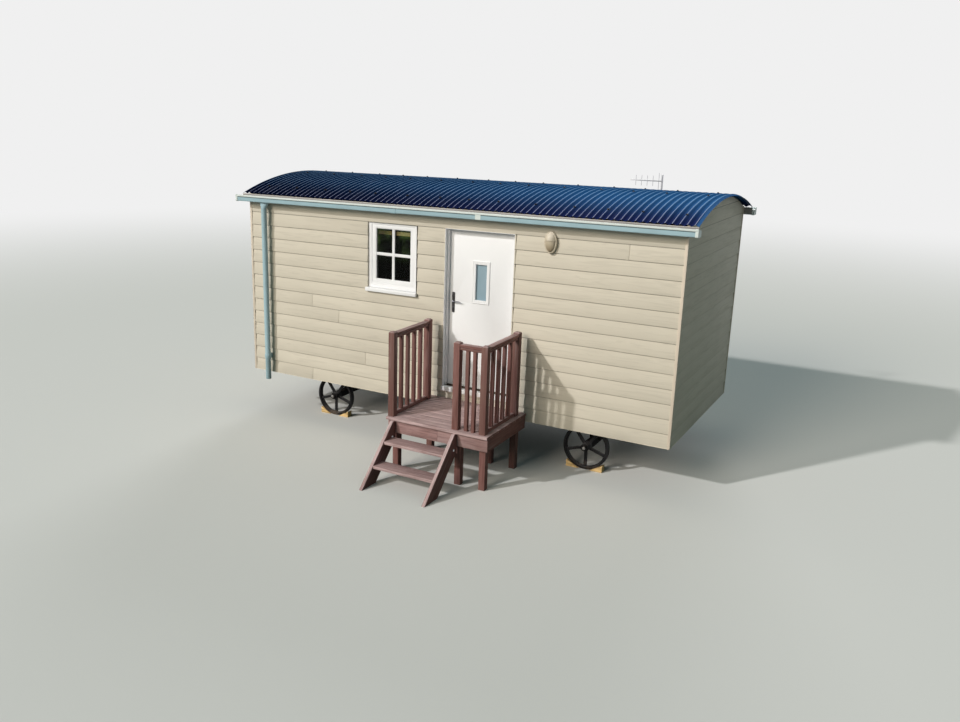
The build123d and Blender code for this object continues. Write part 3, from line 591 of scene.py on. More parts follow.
@functools.cache
def rainwater_coating():
    """Pale blue-grey coating, faintly streaked along the runs, with a painted shadow under the lip."""
    colour = tints().rainwater
    coat = Finish("rainwater_coating", roughness=0.4, specular=0.3)
    streaks = coat.noise(1.0, 5.0, (1.2, 60, 60))
    cloud = coat.noise(4.0, 3.0)
    base = coat.over(colour, shares(colour, 0.9), cloud, 0.3, 0.7)
    base = coat.shade(base, 0.84, streaks, 0.5, 0.72, 0.0, 0.5)
    # Painted shadow: a dark band just under the front lip
    over_foot = coat.ease(coat.height(), LIP_FOOT - 0.013, LIP_FOOT - 0.007)
    under_lip = coat.ease(coat.height(), LIP_FOOT, LIP_FOOT + 0.001, 1.0, 0.0)
    base = coat.dark(coat.math("MULTIPLY", over_foot, under_lip), base, 0.3)
    return coat.done(base, (cloud, 0.08, 0.001), rough=(cloud, 0.32, 0.5))


@functools.cache
def roof_coating():
    """Blue coated steel, lighter to the ridge, with a painted sheen that grows to the right, painted
    highlights along the crowns, greyer near the eaves, and at the right verge, and pale dusty patches.
    """
    colours = tints()
    coat = Finish("roof_coating", roughness=0.5, specular=0.0)
    turn = coat.math("DIVIDE", coat.math("SUBTRACT", coat.height("X"), SHEET_LOW.x), sizes().pitch)
    wave = coat.math("COSINE", coat.math("MULTIPLY", coat.math("ADD", turn, 0.055), 2 * math.pi))
    eaves = SHEET_HIGH.z - (SHEET_HIGH.z - SHEET_LOW.z) * 0.9
    rise = coat.ease(coat.height(), eaves, SHEET_HIGH.z)
    dust = coat.noise(1.0, 6.0, (14, 1.6, 1.6))
    base = coat.mix(rise, colours.roof, colours.roof_ridge)
    # Painted sheen: the coating lighter towards the right end, and most near the ridge
    painted_sheen = coat.mix(rise, srgb(32, 42, 88), srgb(54, 110, 170))
    base = coat.over(base, painted_sheen, coat.height("X"), SHEET_LOW.x, SHEET_HIGH.x)
    base = coat.shade(base, 0.75, coat.noise(1.1, 4.0), 0.35, 0.7, 0.0, 0.6)
    # Painted highlight: pale lines along the crowns, set a little to the sun's side and wider near the
    # ridge, in a dusty grey near the eaves
    crown = coat.mix(rise, colours.roof_dust_and_highlight, colours.roof_crown_highlight)
    base = coat.over(base, crown, wave, coat.ease(rise, 0.2, 1.0, -0.82, -0.58), -0.98, 0.0, 0.95)
    # Painted highlight: a lit mid-blue band along the last crown at the right verge
    base = coat.over(base, srgb(66, 110, 168), coat.height("X"), SHEET_HIGH.x - 0.032, SHEET_HIGH.x - 0.024)
    base = coat.over(base, shares(colours.roof_dust_and_highlight, 0.5), dust, 0.55, 0.75, 0.0, 0.15)
    return coat.done(base, (dust, 0.06, 0.001), rough=(dust, 0.42, 0.6))


@functools.cache
def stain(axis, tilt=0.0, top=0.55, front=0.0):
    """Red-brown stained timber, its grain along an axis or tilted from y, paler on top and in front:
    bleached by the weather, and painted lighter where the light falls.
    """
    fresh, worn_and_lit = tints().stain, tints().stain_worn_and_lit
    wear_and_light = "%02d_%02d" % (round(top * 10), round(front * 10))
    name = "stain_%s_%d_%s" % ("xyz"[axis], round(math.degrees(tilt)), wear_and_light)
    wood = Finish(name, roughness=0.6, specular=0.1)
    turn = (tilt, 0, 0)
    grain = wood.noise(1.0, 8.0, along(axis, 3.0, 62), turn, roughness=0.6, by_board=True)
    fibre = wood.noise(1.0, 3.0, along(axis, 12, 420), turn, roughness=0.6, by_board=True)
    patch = wood.noise(1.0, 5.0, along(axis, 1.6, 14), turn, by_board=True)
    cloud = wood.noise(5.0, 4.0, by_board=True)
    base = wood.mix(wood.tone(), fresh, srgb(112, 86, 80))
    base = wood.over(base, shares(fresh, 0.6), grain, 0.4, 0.66)
    base = wood.over(base, shares(worn_and_lit, 0.6), patch, 0.52, 0.74, 0.0, 0.35)
    # Paler on faces that point up and to the front: weather wear, and painted light on the faces that the
    # light falls on
    wear_and_light = wood.ease(wood.facing(), 0.15, 0.75, 0.0, top)
    if front:
        wear_and_light = wood.math("MAXIMUM", wear_and_light, wood.ease(wood.facing("Y"), -0.5, -0.95, 0.0, front))
    wear_and_light = wood.math("MULTIPLY", wear_and_light, wood.ease(cloud, 0.2, 0.62, 0.6, 1.0))
    base = wood.mix(wear_and_light, base, wood.over(worn_and_lit, shares(worn_and_lit, 0.62), grain, 0.42, 0.66))
    return wood.done(base, (grain, 0.35, 0.0014), (fibre, 0.3, 0.0005), rough=(cloud, 0.5, 0.75))


def stains(top=0.55, front=0.0):
    """The stained timber for boards along x, y and z, paler by a share on their tops and front edges, from
    wear and from painted light.
    """
    return [stain(axis, 0.0, top, front) for axis in range(3)]


@functools.cache
def bare_pine():
    """Sawn pine with dark growth rings and a few knots."""
    colour = tints().pine
    wood = Finish("bare_pine", roughness=0.7, specular=0.2)
    rings = wood.noise(1.0, 6.0, (4, 30, 30), by_board=True)
    knots = wood.noise(11.0, 2.0, by_board=True)
    base = wood.over(colour, shares(colour, 0.6), rings, 0.4, 0.7)
    return wood.done(wood.over(base, shares(colour, 0.3), knots, 0.68, 0.76), (rings, 0.3, 0.001))


@functools.cache
def lining():
    """Dark stained timber of the hut's inside and of the roof's underside."""
    colour = tints().inside
    wood = Finish("lining", roughness=0.65, specular=0.1)
    grain = wood.noise(1.0, 6.0, (3, 3, 40))
    return wood.done(wood.over(colour, shares(colour, 0.6), grain, 0.4, 0.7), (grain, 0.2, 0.0008))


@functools.cache
def black_paint():
    """Black chassis paint, dusty on what faces up and rubbed to rust in spots."""
    paint = Finish("black_paint", roughness=0.55, specular=0.1)
    cloud = paint.noise(9.0, 5.0)
    spots = paint.noise(42.0, 4.0)
    base = paint.over(srgb(13, 13, 15), srgb(24, 23, 24), cloud, 0.4, 0.7)
    base = paint.over(base, srgb(66, 60, 56), paint.facing(), 0.4, 1.0, 0.0, 0.5)
    base = paint.over(base, srgb(70, 46, 32), spots, 0.68, 0.76, 0.0, 0.7)
    return paint.done(base, (spots, 0.2, 0.0008), rough=(cloud, 0.46, 0.7))


@functools.cache
def cast_iron():
    """Black painted cast iron with its sand texture, pale on what faces up and muddy low down."""
    iron = Finish("cast_iron", roughness=0.5, specular=0.2)
    cloud = iron.noise(14.0, 5.0)
    base = iron.over(srgb(15, 15, 18), srgb(30, 29, 31), cloud, 0.35, 0.7)
    base = iron.over(base, srgb(96, 94, 96), iron.facing(), 0.3, 0.9, 0.0, 0.6)
    mud = iron.math("MULTIPLY", iron.ease(iron.height(), 0.0, 0.12, 1.0, 0.0), iron.ease(cloud, 0.35, 0.6))
    base = iron.mix(mud, base, srgb(92, 80, 70))
    return iron.done(base, (iron.noise(160.0, 3.0), 0.25, 0.0008), rough=(cloud, 0.4, 0.65))


@functools.cache
def bare_metal(name, red, green, blue, roughness):
    """Satin metal with fine brushing."""
    metal = Finish(name, roughness=roughness, metallic=1.0)
    brushing = metal.noise(1.0, 4.0, (40, 40, 400))
    tone = srgb(red, green, blue)
    base = metal.over(tone, shares(tone, 0.8), brushing, 0.35, 0.7)
    return metal.done(base, (brushing, 0.05, 0.0002), rough=(brushing, roughness - 0.06, roughness + 0.12))


@functools.cache
def dark_fitting():
    """Near-black coating of the handle plates, the dark strip by the window, the spacers and screw heads."""
    coat = Finish("dark_fitting", roughness=0.42, specular=0.3)
    cloud = coat.noise(60.0, 3.0)
    base = coat.over(srgb(38, 36, 38), srgb(58, 56, 56), cloud, 0.3, 0.7)
    return coat.done(base, (cloud, 0.1, 0.0003))


@functools.cache
def clear_glass():
    """Window glass, near black, with a painted green reflection on its upper part; light passes through most
    of it.
    """
    glass = Finish("clear_glass", roughness=0.03, alpha=0.3, ior=1.5, specular=0.2)
    reflection_cloud = glass.noise(2.4, 4.0, (3, 1, 2))
    # Painted reflection: mottled green on the upper panes, near black below
    green = glass.over(srgb(10, 12, 10), srgb(74, 98, 52), reflection_cloud, 0.42, 0.66)
    upper = (WINDOW_LOW.z + 0.3, WINDOW_HIGH.z - 0.25)
    return glass.done(glass.over(srgb(3, 4, 3), green, glass.height(), *upper))


@functools.cache
def frosted_glass():
    """Obscured glass of the door light, pale blue."""
    glass = Finish("frosted_glass", roughness=0.3, transmission=0.25, ior=1.45)
    cloud = glass.noise(1.0, 3.0, (4, 4, 1.4))
    base = glass.over(srgb(142, 170, 186), srgb(160, 184, 196), cloud, 0.3, 0.7)
    return glass.done(base, (glass.noise(190.0, 2.0), 0.4, 0.0006))


@functools.cache
def lamp_coating():
    """Beige coating of the wall light, with a painted highlight where it faces up."""
    colour = tints().lamp
    coat = Finish("lamp_coating", roughness=0.5)
    cloud = coat.noise(34.0, 4.0)
    base = coat.over(colour, shares(colour, 0.8), cloud, 0.4, 0.7)
    # Painted highlight: paler where the coating faces up
    base = coat.over(base, srgb(226, 216, 202), coat.facing(), 0.1, 0.7, 0.0, 0.7)
    return coat.done(base, (cloud, 0.15, 0.0006))


@functools.cache
def lamp_lens_glass():
    """Ribbed tan lens of the wall light."""
    lens = Finish("lamp_lens_glass", roughness=0.3)
    inputs = {"Vector": lens.place(), "Scale": 28.0, "Distortion": 0.0}
    ribs = lens.node("TexWave", inputs, bands_direction="X")
    span = (LAMP_LOW.z, LAMP_HIGH.z - 0.08)
    # Painted shade: the lens darker low down, paler towards the top
    tone = lens.over(srgb(148, 130, 104), srgb(202, 188, 164), lens.height(), *span)
    return lens.done(lens.mix(ribs, tone, lens.dark(1.0, tone, 0.72)), (ribs, 0.5, 0.002))


@functools.cache
def blind_slats():
    """Tan slats of the blind behind the window."""
    slats = Finish("blind_slats", roughness=0.6)
    grain = slats.noise(1.0, 4.0, (4, 30, 60))
    wood = slats.over(srgb(236, 222, 160), srgb(206, 170, 84), grain, 0.35, 0.7)
    # Painted shade: the slats fall dark towards their left end
    dim = (WINDOW_LOW.x + 0.2, WINDOW_LOW.x + 0.42)
    return slats.done(slats.shade(wood, 0.25, slats.height("X"), *dim, 1.0, 0.0))


# Walls


def wall_place(side):
    """Turns a wall drawn in its own plane, x across and y into the wall, to its side of the hut."""
    spots = {
        "front": ((0, FRONT, 0), 0),
        "rear": ((0, REAR, 0), 180),
        "right": ((RIGHT, CENTRE_Y, 0), 90),
        "left": ((LEFT, CENTRE_Y, 0), -90),
    }
    origin, turn = spots[side]
    return Matrix.Translation(origin) @ Matrix.Rotation(math.radians(turn), 4, "Z")


def board_cells(bm, across, up, holes, step=None):
    """Add one flat board, in cells where a step is given, less what the openings cut away."""
    lines = {*across, *(x for hole in holes for x in hole[0] if across[0] < x < across[1])}
    if step:
        count = math.ceil((across[1] - across[0]) / step)
        lines |= {across[0] + (across[1] - across[0]) * number / count for number in range(count)}
    rows = sorted({*up, *(z for hole in holes for z in hole[1] if up[0] < z < up[1])})
    lines = sorted(lines)
    for left, right in zip(lines, lines[1:]):
        for bottom, top in zip(rows, rows[1:]):
            x, z = (left + right) / 2, (bottom + top) / 2
            if not any(hole[0][0] < x < hole[0][1] and hole[1][0] < z < hole[1][1] for hole in holes):
                add_panel(bm, (left, right), (bottom, top), 0.0)


def add_lapped_board(whole, across, foot, holes):
    """Add one board to a wall, leaning out to its lower edge and rounded where it shows."""
    size = sizes()
    board = bmesh.new()
    board_cells(board, across, (foot, foot + size.course), holes)
    merge_flat(board, 0.001)
    pull(board, board.faces[:], (0, size.board_depth, 0))
    for corner in board.verts:
        if corner.co.y < size.board_depth / 2:
            lean = size.lap * min(1.0, (corner.co.z - foot) / size.course)
            corner.co.y = size.board_set_back + lean
    bmesh.ops.recalc_face_normals(board, faces=board.faces)

    def shown(edge):
        back = size.board_depth - 0.005
        return max(corner.co.y for corner in edge.verts) < back

    round_edges(board, size.edge, only=shown)
    part = bpy.data.meshes.new("board")
    board.to_mesh(part)
    board.free()
    whole.from_mesh(part)
    bpy.data.meshes.remove(part)


def clad_wall(name, side, half_width, courses, holes, butts, node):
    """Lapped boards on one wall, course over course, with butt joints here and there."""
    size = sizes()
    whole = bmesh.new()
    for course in range(courses):
        ends = [-half_width, *sorted(butts.get(course, ())), half_width]
        for left, right in zip(ends, ends[1:]):
            gap = size.butt_gap / 2
            across = (left + gap * (left != -half_width), right - gap * (right != half_width))
            add_lapped_board(whole, across, FOOT + course * size.course, holes)
    finish_wall(name, side, whole, (node,))


def finish_wall(name, side, bm, replaces=()):
    """Give a wall's boards their tones and set them on their side of the hut."""
    mark_boards(bm, name, turn_grain=False)
    bm.transform(wall_place(side))
    axis = 0 if side in ("front", "rear") else 1
    make_piece(name, bm, [board_paint(axis)], replaces=replaces)


def plain_board(name, side, half_width, holes, foot, roof_line=None):
    """The plain board over the top course: a frieze under the eaves, or a gable cut to the roof."""
    set_back, head_gap, cell = 0.006, 0.02, 0.1
    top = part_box("front_cladding")[1].z - head_gap
    bm = bmesh.new()
    board_cells(bm, (-half_width, half_width), (foot, top), holes, cell if roof_line else None)
    bmesh.ops.remove_doubles(bm, verts=bm.verts, dist=1e-5)
    for corner in bm.verts:
        if roof_line and corner.co.z > foot + 0.001:
            corner.co.z = roof_line(corner.co.x)
    merge_flat(bm, 0.001)
    bmesh.ops.translate(bm, verts=bm.verts, vec=(0, set_back, 0))
    pull(bm, bm.faces[:], (0, sizes().board_depth - set_back, 0))
    round_edges(bm, sizes().edge)
    finish_wall(name, side, bm)


def full_courses():
    """Courses under the frieze, whose lower edge stays a hand's breadth under the gutter."""
    breadth = 0.09
    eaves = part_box("front_gutter")[0].z
    return int((eaves - breadth - FOOT) // sizes().course)


class HUT_OT_cladding(bpy.types.Operator):
    """Lap painted boards round the four walls, under a plain frieze or, at the ends, a plain gable"""

    bl_idname = "hut.cladding"
    bl_label = "Cladding"

    def execute(self, context):
        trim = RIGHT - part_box("front_cladding")[1].x
        half_length, half_width = (RIGHT - LEFT) / 2 - trim, (REAR - FRONT) / 2 - trim
        courses = full_courses()
        frieze_foot = FOOT + courses * sizes().course
        long_walls = (("front", (DOOR_HOLE, WINDOW_HOLE), FRONT_BUTTS), ("rear", (), REAR_BUTTS))
        for side, holes, butts in long_walls:
            clad_wall(side + "_boards", side, half_length, courses, holes, butts, side + "_cladding")
        for side, holes, _ in long_walls:
            plain_board(side + "_frieze", side, half_length, holes, frieze_foot)
        under_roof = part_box("roof_deck")[1].z - ROOF_AXIS_Z - 0.001

        def roof_line(across):
            return ROOF_AXIS_Z + math.sqrt(under_roof**2 - across**2)

        for side in ("left", "right"):
            clad_wall(side + "_end_boards", side, half_width, courses + 1, (), {}, side + "_end_cladding")
            plain_board(side + "_gable", side, half_width, (), frieze_foot + sizes().course, roof_line)
        return {"FINISHED"}


class HUT_OT_trims(bpy.types.Operator):
    """Stand a square bead at each corner and beside the doorway, and line the doorway's reveals"""

    bl_idname = "hut.trims"
    bl_label = "Corner beads and reveals"

    def execute(self, context):
        rounded_copy("corner_beads", "corner_trims", sizes().edge, [trim_paint()])
        (left, right), (foot, top) = DOOR_HOLE
        face, back, width = FRONT - 0.001, FRONT + 0.012, 0.014
        beads = bmesh.new()
        add_box(beads, (left - width, face, foot), (left, back, top))
        add_box(beads, (right, face, foot), (right + width, back, top))
        round_edges(beads, sizes().edge)
        mark_boards(beads, "doorway", turn_grain=False)
        make_piece("doorway_beads", beads, [board_paint(0)])
        linings = bmesh.new()
        skin, frame_front, sill = 0.004, DOOR_LOW.y - 0.0003, CILL_HIGH.z
        add_box(linings, (left, FRONT, sill), (left + skin, frame_front, top))
        add_box(linings, (right - skin, FRONT, sill), (right, frame_front, top))
        add_box(linings, (left + skin, FRONT, top - skin), (right - skin, frame_front, top))
        mark_boards(linings, "linings", turn_grain=False)
        make_piece("doorway_linings", linings, [joinery_paint()])
        return {"FINISHED"}


# Roof and rainwater goods


def line_with_timber(node):
    """Give a construction node, which stays as it is, the finish of the hut's inside."""
    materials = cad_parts[node].data.materials
    materials.clear()
    materials.append(lining())


class HUT_OT_roof(bpy.types.Operator):
    """Bend the corrugated sheet over the barrel and fix it with bolts through its crowns"""

    bl_idname = "hut.roof"
    bl_label = "Roof"

    def execute(self, context):
        waves = round((SHEET_HIGH.x - SHEET_LOW.x) / sizes().pitch)
        self.bend_sheet(waves)
        self.fix_bolts(waves)
        rounded_copy("fascia_boards", "fascias", sizes().edge, [fascia_paint()])
        line_with_timber("roof_deck")
        return {"FINISHED"}

    def bend_sheet(self, waves):
        size = sizes()
        half_angle = math.asin((SHEET_HIGH.y - CENTRE_Y) / ROOF_RADIUS)
        samples, steps = 8, 40
        axis = Vector((0, CENTRE_Y, ROOF_AXIS_Z))
        bm = bmesh.new()
        top = ROOF_AXIS_Z + ROOF_RADIUS
        ridge = bm.edges.new([bm.verts.new((x, CENTRE_Y, top)) for x in (SHEET_LOW.x, SHEET_HIGH.x)])
        bmesh.ops.subdivide_edges(bm, edges=[ridge], cuts=waves * samples - 1)
        for corner in bm.verts:
            turn = 2 * math.pi * (corner.co.x - SHEET_LOW.x) / size.pitch
            corner.co.z -= size.depth * (1 + math.cos(turn)) / 2
        bmesh.ops.rotate(bm, verts=bm.verts, cent=axis, matrix=Matrix.Rotation(-half_angle, 3, "X"))
        bmesh.ops.spin(
            bm, geom=bm.edges[:], cent=axis, axis=(1, 0, 0), dvec=(0, 0, 0), angle=2 * half_angle,
            steps=steps, use_merge=False, use_duplicate=False,
        )
        bmesh.ops.recalc_face_normals(bm, faces=bm.faces)
        if max(bm.faces, key=lambda face: face.calc_center_median().z).normal.z < 0:
            bmesh.ops.reverse_faces(bm, faces=bm.faces)
        bmesh.ops.solidify(bm, geom=bm.faces[:], thickness=size.sheet)
        make_piece("corrugated_sheet", bm, [roof_coating()], replaces=("roof_sheet",), smooth=60)

    def fix_bolts(self, waves):
        # Rows across the barrel, and the bolts of a row, counted in waves from the right end
        rows, bolt_pitch, last_crown = (-1.03, -0.22, 0.22, 1.03), 5.5, 3
        sunk, washer_top, head_top = 0.004, 0.006, 0.013
        bm = bmesh.new()
        for offset in rows:
            angle = math.asin(offset / ROOF_RADIUS)
            outward = Vector((0, math.sin(angle), math.cos(angle)))
            for number in range(int(waves / bolt_pitch)):
                crown = waves - last_crown - round(number * bolt_pitch)
                x = SHEET_LOW.x + (crown + 0.5) * sizes().pitch
                spot = Vector((x, CENTRE_Y, ROOF_AXIS_Z)) + outward * (ROOF_RADIUS - sunk)
                add_rod(bm, spot, spot + outward * washer_top, 0.016, 10, 0.013)
                add_rod(bm, spot + outward * washer_top, spot + outward * head_top, 0.009, 6)
        make_piece("roof_bolts", bm, [black_paint()])


def gutter_copy(node, outward):
    """A gutter whose swept front is drawn out into a nearly flat face with a tight lower corner."""
    bm = cad_copy(node)
    low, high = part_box(node)
    wall = low.y if outward > 0 else high.y
    centre, squareness = 0.034, 0.3
    middle = high.y - low.y - UNION_RELIEF - centre
    for corner in bm.verts:
        across = (corner.co.y - wall) * outward - middle
        down = low.z + UNION_RELIEF + centre - corner.co.z
        if across > 0.001 and down > 0.001:
            radius = math.hypot(across, down)
            corner.co.y = wall + outward * (middle + radius * (across / radius) ** squareness)
            corner.co.z = low.z + UNION_RELIEF + centre - radius * (down / radius) ** squareness
    return bm


def cut_length(bm, x_span):
    """Cut a long piece off at two places and close its ends."""
    for x, outward in zip(x_span, (-1, 1)):
        cut_off(bm, (x, 0, 0), (outward, 0, 0))
    bmesh.ops.holes_fill(bm, edges=bm.edges)


def sleeve(bm_from, x_span, grow):
    """A band round a long piece, a little proud of it."""
    bm = bm_from.copy()
    cut_length(bm, x_span)
    low, high = extent(bm.verts)
    size = high - low
    to_centre = Matrix.Translation(-(low + high) / 2)
    scale = (1.0, 1 + 2 * grow / size.y, 1 + 2 * grow / size.z)
    bmesh.ops.scale(bm, vec=scale, space=to_centre, verts=bm.verts)
    return bm


class HUT_OT_rainwater(bpy.types.Operator):
    """Hang the gutters with their lips, stop ends and unions, and the downpipe with its clip"""

    bl_idname = "hut.rainwater"
    bl_label = "Gutters and downpipe"

    def execute(self, context):
        inset, stop, band = 0.012, 0.03, 0.034
        for node, outward in (("front_gutter", -1), ("rear_gutter", 1)):
            low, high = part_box(node)
            gutter = gutter_copy(node, outward)
            run = gutter.copy()
            cut_length(run, (low.x + inset, high.x - inset))
            make_piece(node + "_run", run, [rainwater_coating()], replaces=(node,), smooth=50)
            face = (low.y if outward < 0 else high.y) - outward * UNION_RELIEF
            back, front = sorted((face - outward * 0.008, face + outward * 0.007))
            lip = bmesh.new()
            lip_top = LIP_FOOT + LIP_DEPTH + 0.001
            add_box(lip, (low.x + inset, back, LIP_FOOT), (high.x - inset, front, lip_top))
            round_edges(lip, 0.002)
            make_piece(node + "_lip", lip, [rainwater_trim()])
            union = UNION_PLACE * -outward
            for part, x_span, grow in (
                ("left_stop", (low.x - 1, low.x + stop), 0.004),
                ("right_stop", (high.x - stop, high.x + 1), 0.004),
                ("union", (union - band, union + band), 0.001),
            ):
                piece = sleeve(gutter, x_span, grow)
                make_piece(node + "_" + part, piece, [rainwater_trim()], smooth=50)
            gutter.free()
        rounded_copy("downpipe_run", "downpipe", 0.001, [rainwater_coating()], smooth=50)
        return {"FINISHED"}


# Window and door


class HUT_OT_window(bpy.types.Operator):
    """Build the small-paned window with its glazing beads, spacer lines, blind and sill"""

    bl_idname = "hut.window"
    bl_label = "Window"

    def execute(self, context):
        rounded_copy("window_outer_frame", "window_frame", 0.003, [joinery_paint()])
        rounded_copy("window_inner_sash", "window_sash", 0.004, [joinery_paint()])
        rounded_copy("sill_board", "window_sill", 0.003, [joinery_paint()])
        glass = cad_copy("window_glass")
        make_piece("window_panes", glass, [clear_glass()], replaces=("window_glass",))
        low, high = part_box("window_glass")
        middle, bar_half = (low + high) / 2, 0.011
        beads, spacers = bmesh.new(), bmesh.new()
        for x_span in ((low.x, middle.x - bar_half), (middle.x + bar_half, high.x)):
            for z_span in ((low.z, middle.z - bar_half), (middle.z + bar_half, high.z)):
                add_ring(beads, x_span, z_span, 0.007, (low.y - 0.009, low.y - 0.0002))
                inner_x, inner_z = grown(x_span, -0.016), grown(z_span, -0.016)
                add_ring(spacers, inner_x, inner_z, 0.003, (high.y + 0.0005, high.y + 0.004))
        round_edges(beads, 0.002)
        make_piece("glazing_beads", beads, [joinery_paint()])
        make_piece("pane_spacers", spacers, [dark_fitting()])
        blind = bmesh.new()
        slats, slat, pitch = 4, 0.0095, 0.011
        for number in range(slats):
            top = high.z - 0.034 - number * pitch
            add_box(blind, (low.x + 0.01, high.y + 0.010, top - slat), (high.x - 0.01, high.y + 0.034, top))
        round_edges(blind, 0.002)
        make_piece("window_blind", blind, [blind_slats()])
        # A slim dark strip along the right side of the window's frame
        dark_strip = bmesh.new()
        side = WINDOW_HIGH.x
        add_box(dark_strip, (side, FRONT + 0.001, SILL_HIGH.z), (side + 0.009, FRONT + 0.012, WINDOW_HIGH.z))
        round_edges(dark_strip, 0.001)
        make_piece("window_dark_strip", dark_strip, [dark_fitting()])
        return {"FINISHED"}


class HUT_OT_door(bpy.types.Operator):
    """Build the door frame, the threshold and the leaf with its glazed light"""

    bl_idname = "hut.door"
    bl_label = "Door"

    def execute(self, context):
        rounded_copy("door_surround", "door_frame", 0.002, [joinery_paint()])
        rounded_copy("door_threshold", "door_cill", 0.005, [joinery_paint()], segments=3)
        rounded_copy("door_slab", "door_leaf", 0.002, [joinery_paint()], "door")
        glass = cad_copy("door_light")
        make_piece("door_light_pane", glass, [frosted_glass()], "door", ("door_light",))
        low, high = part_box("door_light")
        beads = bmesh.new()
        bead, moulding = 0.008, 0.030
        x_span, z_span = (low.x, high.x), (low.z, high.z)
        add_ring(beads, x_span, z_span, bead, (LEAF_LOW.y + 0.002, low.y - 0.0002))
        outer_x, outer_z = grown(x_span, moulding), grown(z_span, moulding)
        add_ring(beads, outer_x, outer_z, bead, (LEAF_LOW.y - 0.004, LEAF_LOW.y + 0.001))
        add_ring(beads, x_span, z_span, bead, (high.y + 0.0002, LEAF_HIGH.y + 0.003))
        round_edges(beads, 0.002)
        make_piece("door_light_beads", beads, [joinery_paint()], "door")
        return {"FINISHED"}


class HUT_OT_door_furniture(bpy.types.Operator):
    """Fit the handle plates, the levers, the lock and the hinges"""

    bl_idname = "hut.door_furniture"
    bl_label = "Door furniture"

    def execute(self, context):
        steel = bare_metal("satin_steel", 104, 104, 110, 0.38)
        rounded_copy("handle_plates", "door_handle_plates", 0.002, [dark_fitting()], "door")
        low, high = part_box("door_handle_plates")
        x = (low.x + high.x) / 2
        self.fit_levers(steel, x, low.y, high.y)
        locks = bmesh.new()
        lock_z, screw_inset = (low.z + high.z) / 2 - 0.055, 0.016
        for y, outward in ((low.y, -1), (high.y, 1)):
            add_rod(locks, (x, y, lock_z), (x, y + outward * 0.004, lock_z), 0.0085, 20)
            for z in (low.z + screw_inset, high.z - screw_inset):
                add_dome(locks, (x, y, z), (0, outward, 0), 0.0045, 0.002)
        make_piece("lock_barrels", locks, [steel], "door")
        for node, body in (("door_hinges", "hut"), ("door_hinge_leaves", "door")):
            rounded_copy(node + "_finished", node, 0.0006, [steel], body)
        return {"FINISHED"}

    def fit_levers(self, steel, x, plate_front, plate_back):
        low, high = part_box("door_lever")
        z, radius, gap = (low.z + high.z) / 2, (high.z - low.z) / 2, 0.0006
        # Along each lever: the place across, the place up and the share of the radius
        joints = [(0.0, 0.0, 0.92), (0.03, 0.001, 0.84), (0.075, -0.001, 0.68), (0.112, -0.0035, 0.54)]
        bm = bmesh.new()
        for face_y, arm_y in ((plate_front - gap, low.y + radius), (plate_back + gap, high.y - radius)):
            add_rod(bm, (x, face_y, z), (x, arm_y, z), radius, 20)
            spots = [(Vector((x + across, arm_y, z + up)), radius * share) for across, up, share in joints]
            for (start, thick), (end, thin) in zip(spots, spots[1:]):
                add_rod(bm, start, end, thick, 16, thin)
            add_dome(bm, spots[-1][0], (1, 0, 0), spots[-1][1], radius * 0.6, 16)
            add_dome(bm, spots[0][0], (-1, 0, 0), radius, radius * 0.9, 16)
        add_rod(bm, (x, plate_front - 2 * gap, z), (x, plate_back + 2 * gap, z), radius * 0.8, 16)
        make_piece("lever_handles", bm, [steel], "lever", ("door_lever",))


class HUT_OT_lamp(bpy.types.Operator):
    """Hang the oval wall light: a base, a ribbed lens and an eyelid hood over its upper part"""

    bl_idname = "hut.lamp"
    bl_label = "Wall light"

    def execute(self, context):
        middle, half = (LAMP_LOW + LAMP_HIGH) / 2, (LAMP_HIGH - LAMP_LOW) / 2
        wall, base_depth, rim, lens_depth, play = LAMP_HIGH.y, 0.036, 0.018, 0.034, 0.003
        face = wall - base_depth
        base = bmesh.new()
        add_rod(base, (0, wall, 0), (0, face, 0), 1.0, 48)
        bmesh.ops.scale(base, vec=(half.x, 1, half.z), verts=base.verts)
        bmesh.ops.translate(base, vec=(middle.x, 0, middle.z), verts=base.verts)
        round_edges(base, 0.009, 4)
        make_piece("wall_light_base", base, [lamp_coating()], replaces=("wall_lamp",), smooth=50)
        lens = bmesh.new()
        add_oval(lens, (middle.x, face, middle.z), (half.x - rim, lens_depth, half.z - rim))
        cut_off(lens, (0, face + 0.004, 0), (0, 1, 0))
        bmesh.ops.holes_fill(lens, edges=lens.edges)
        make_piece("wall_light_lens", lens, [lamp_lens_glass()], smooth=60)
        hood = bmesh.new()
        reach = wall - LAMP_LOW.y - 0.004
        add_oval(hood, (middle.x, wall, middle.z), (half.x - play, reach, half.z - play))
        cut_off(hood, (0, wall, 0), (0, 1, 0))
        cut_off(hood, (0, wall, LAMP_HIGH.z - 0.108), (0, -0.18, -1))
        bmesh.ops.recalc_face_normals(hood, faces=hood.faces)
        bmesh.ops.solidify(hood, geom=hood.faces[:], thickness=0.003)
        make_piece("wall_light_hood", hood, [lamp_coating()], smooth=60)
        return {"FINISHED"}


# Running gear and aerial


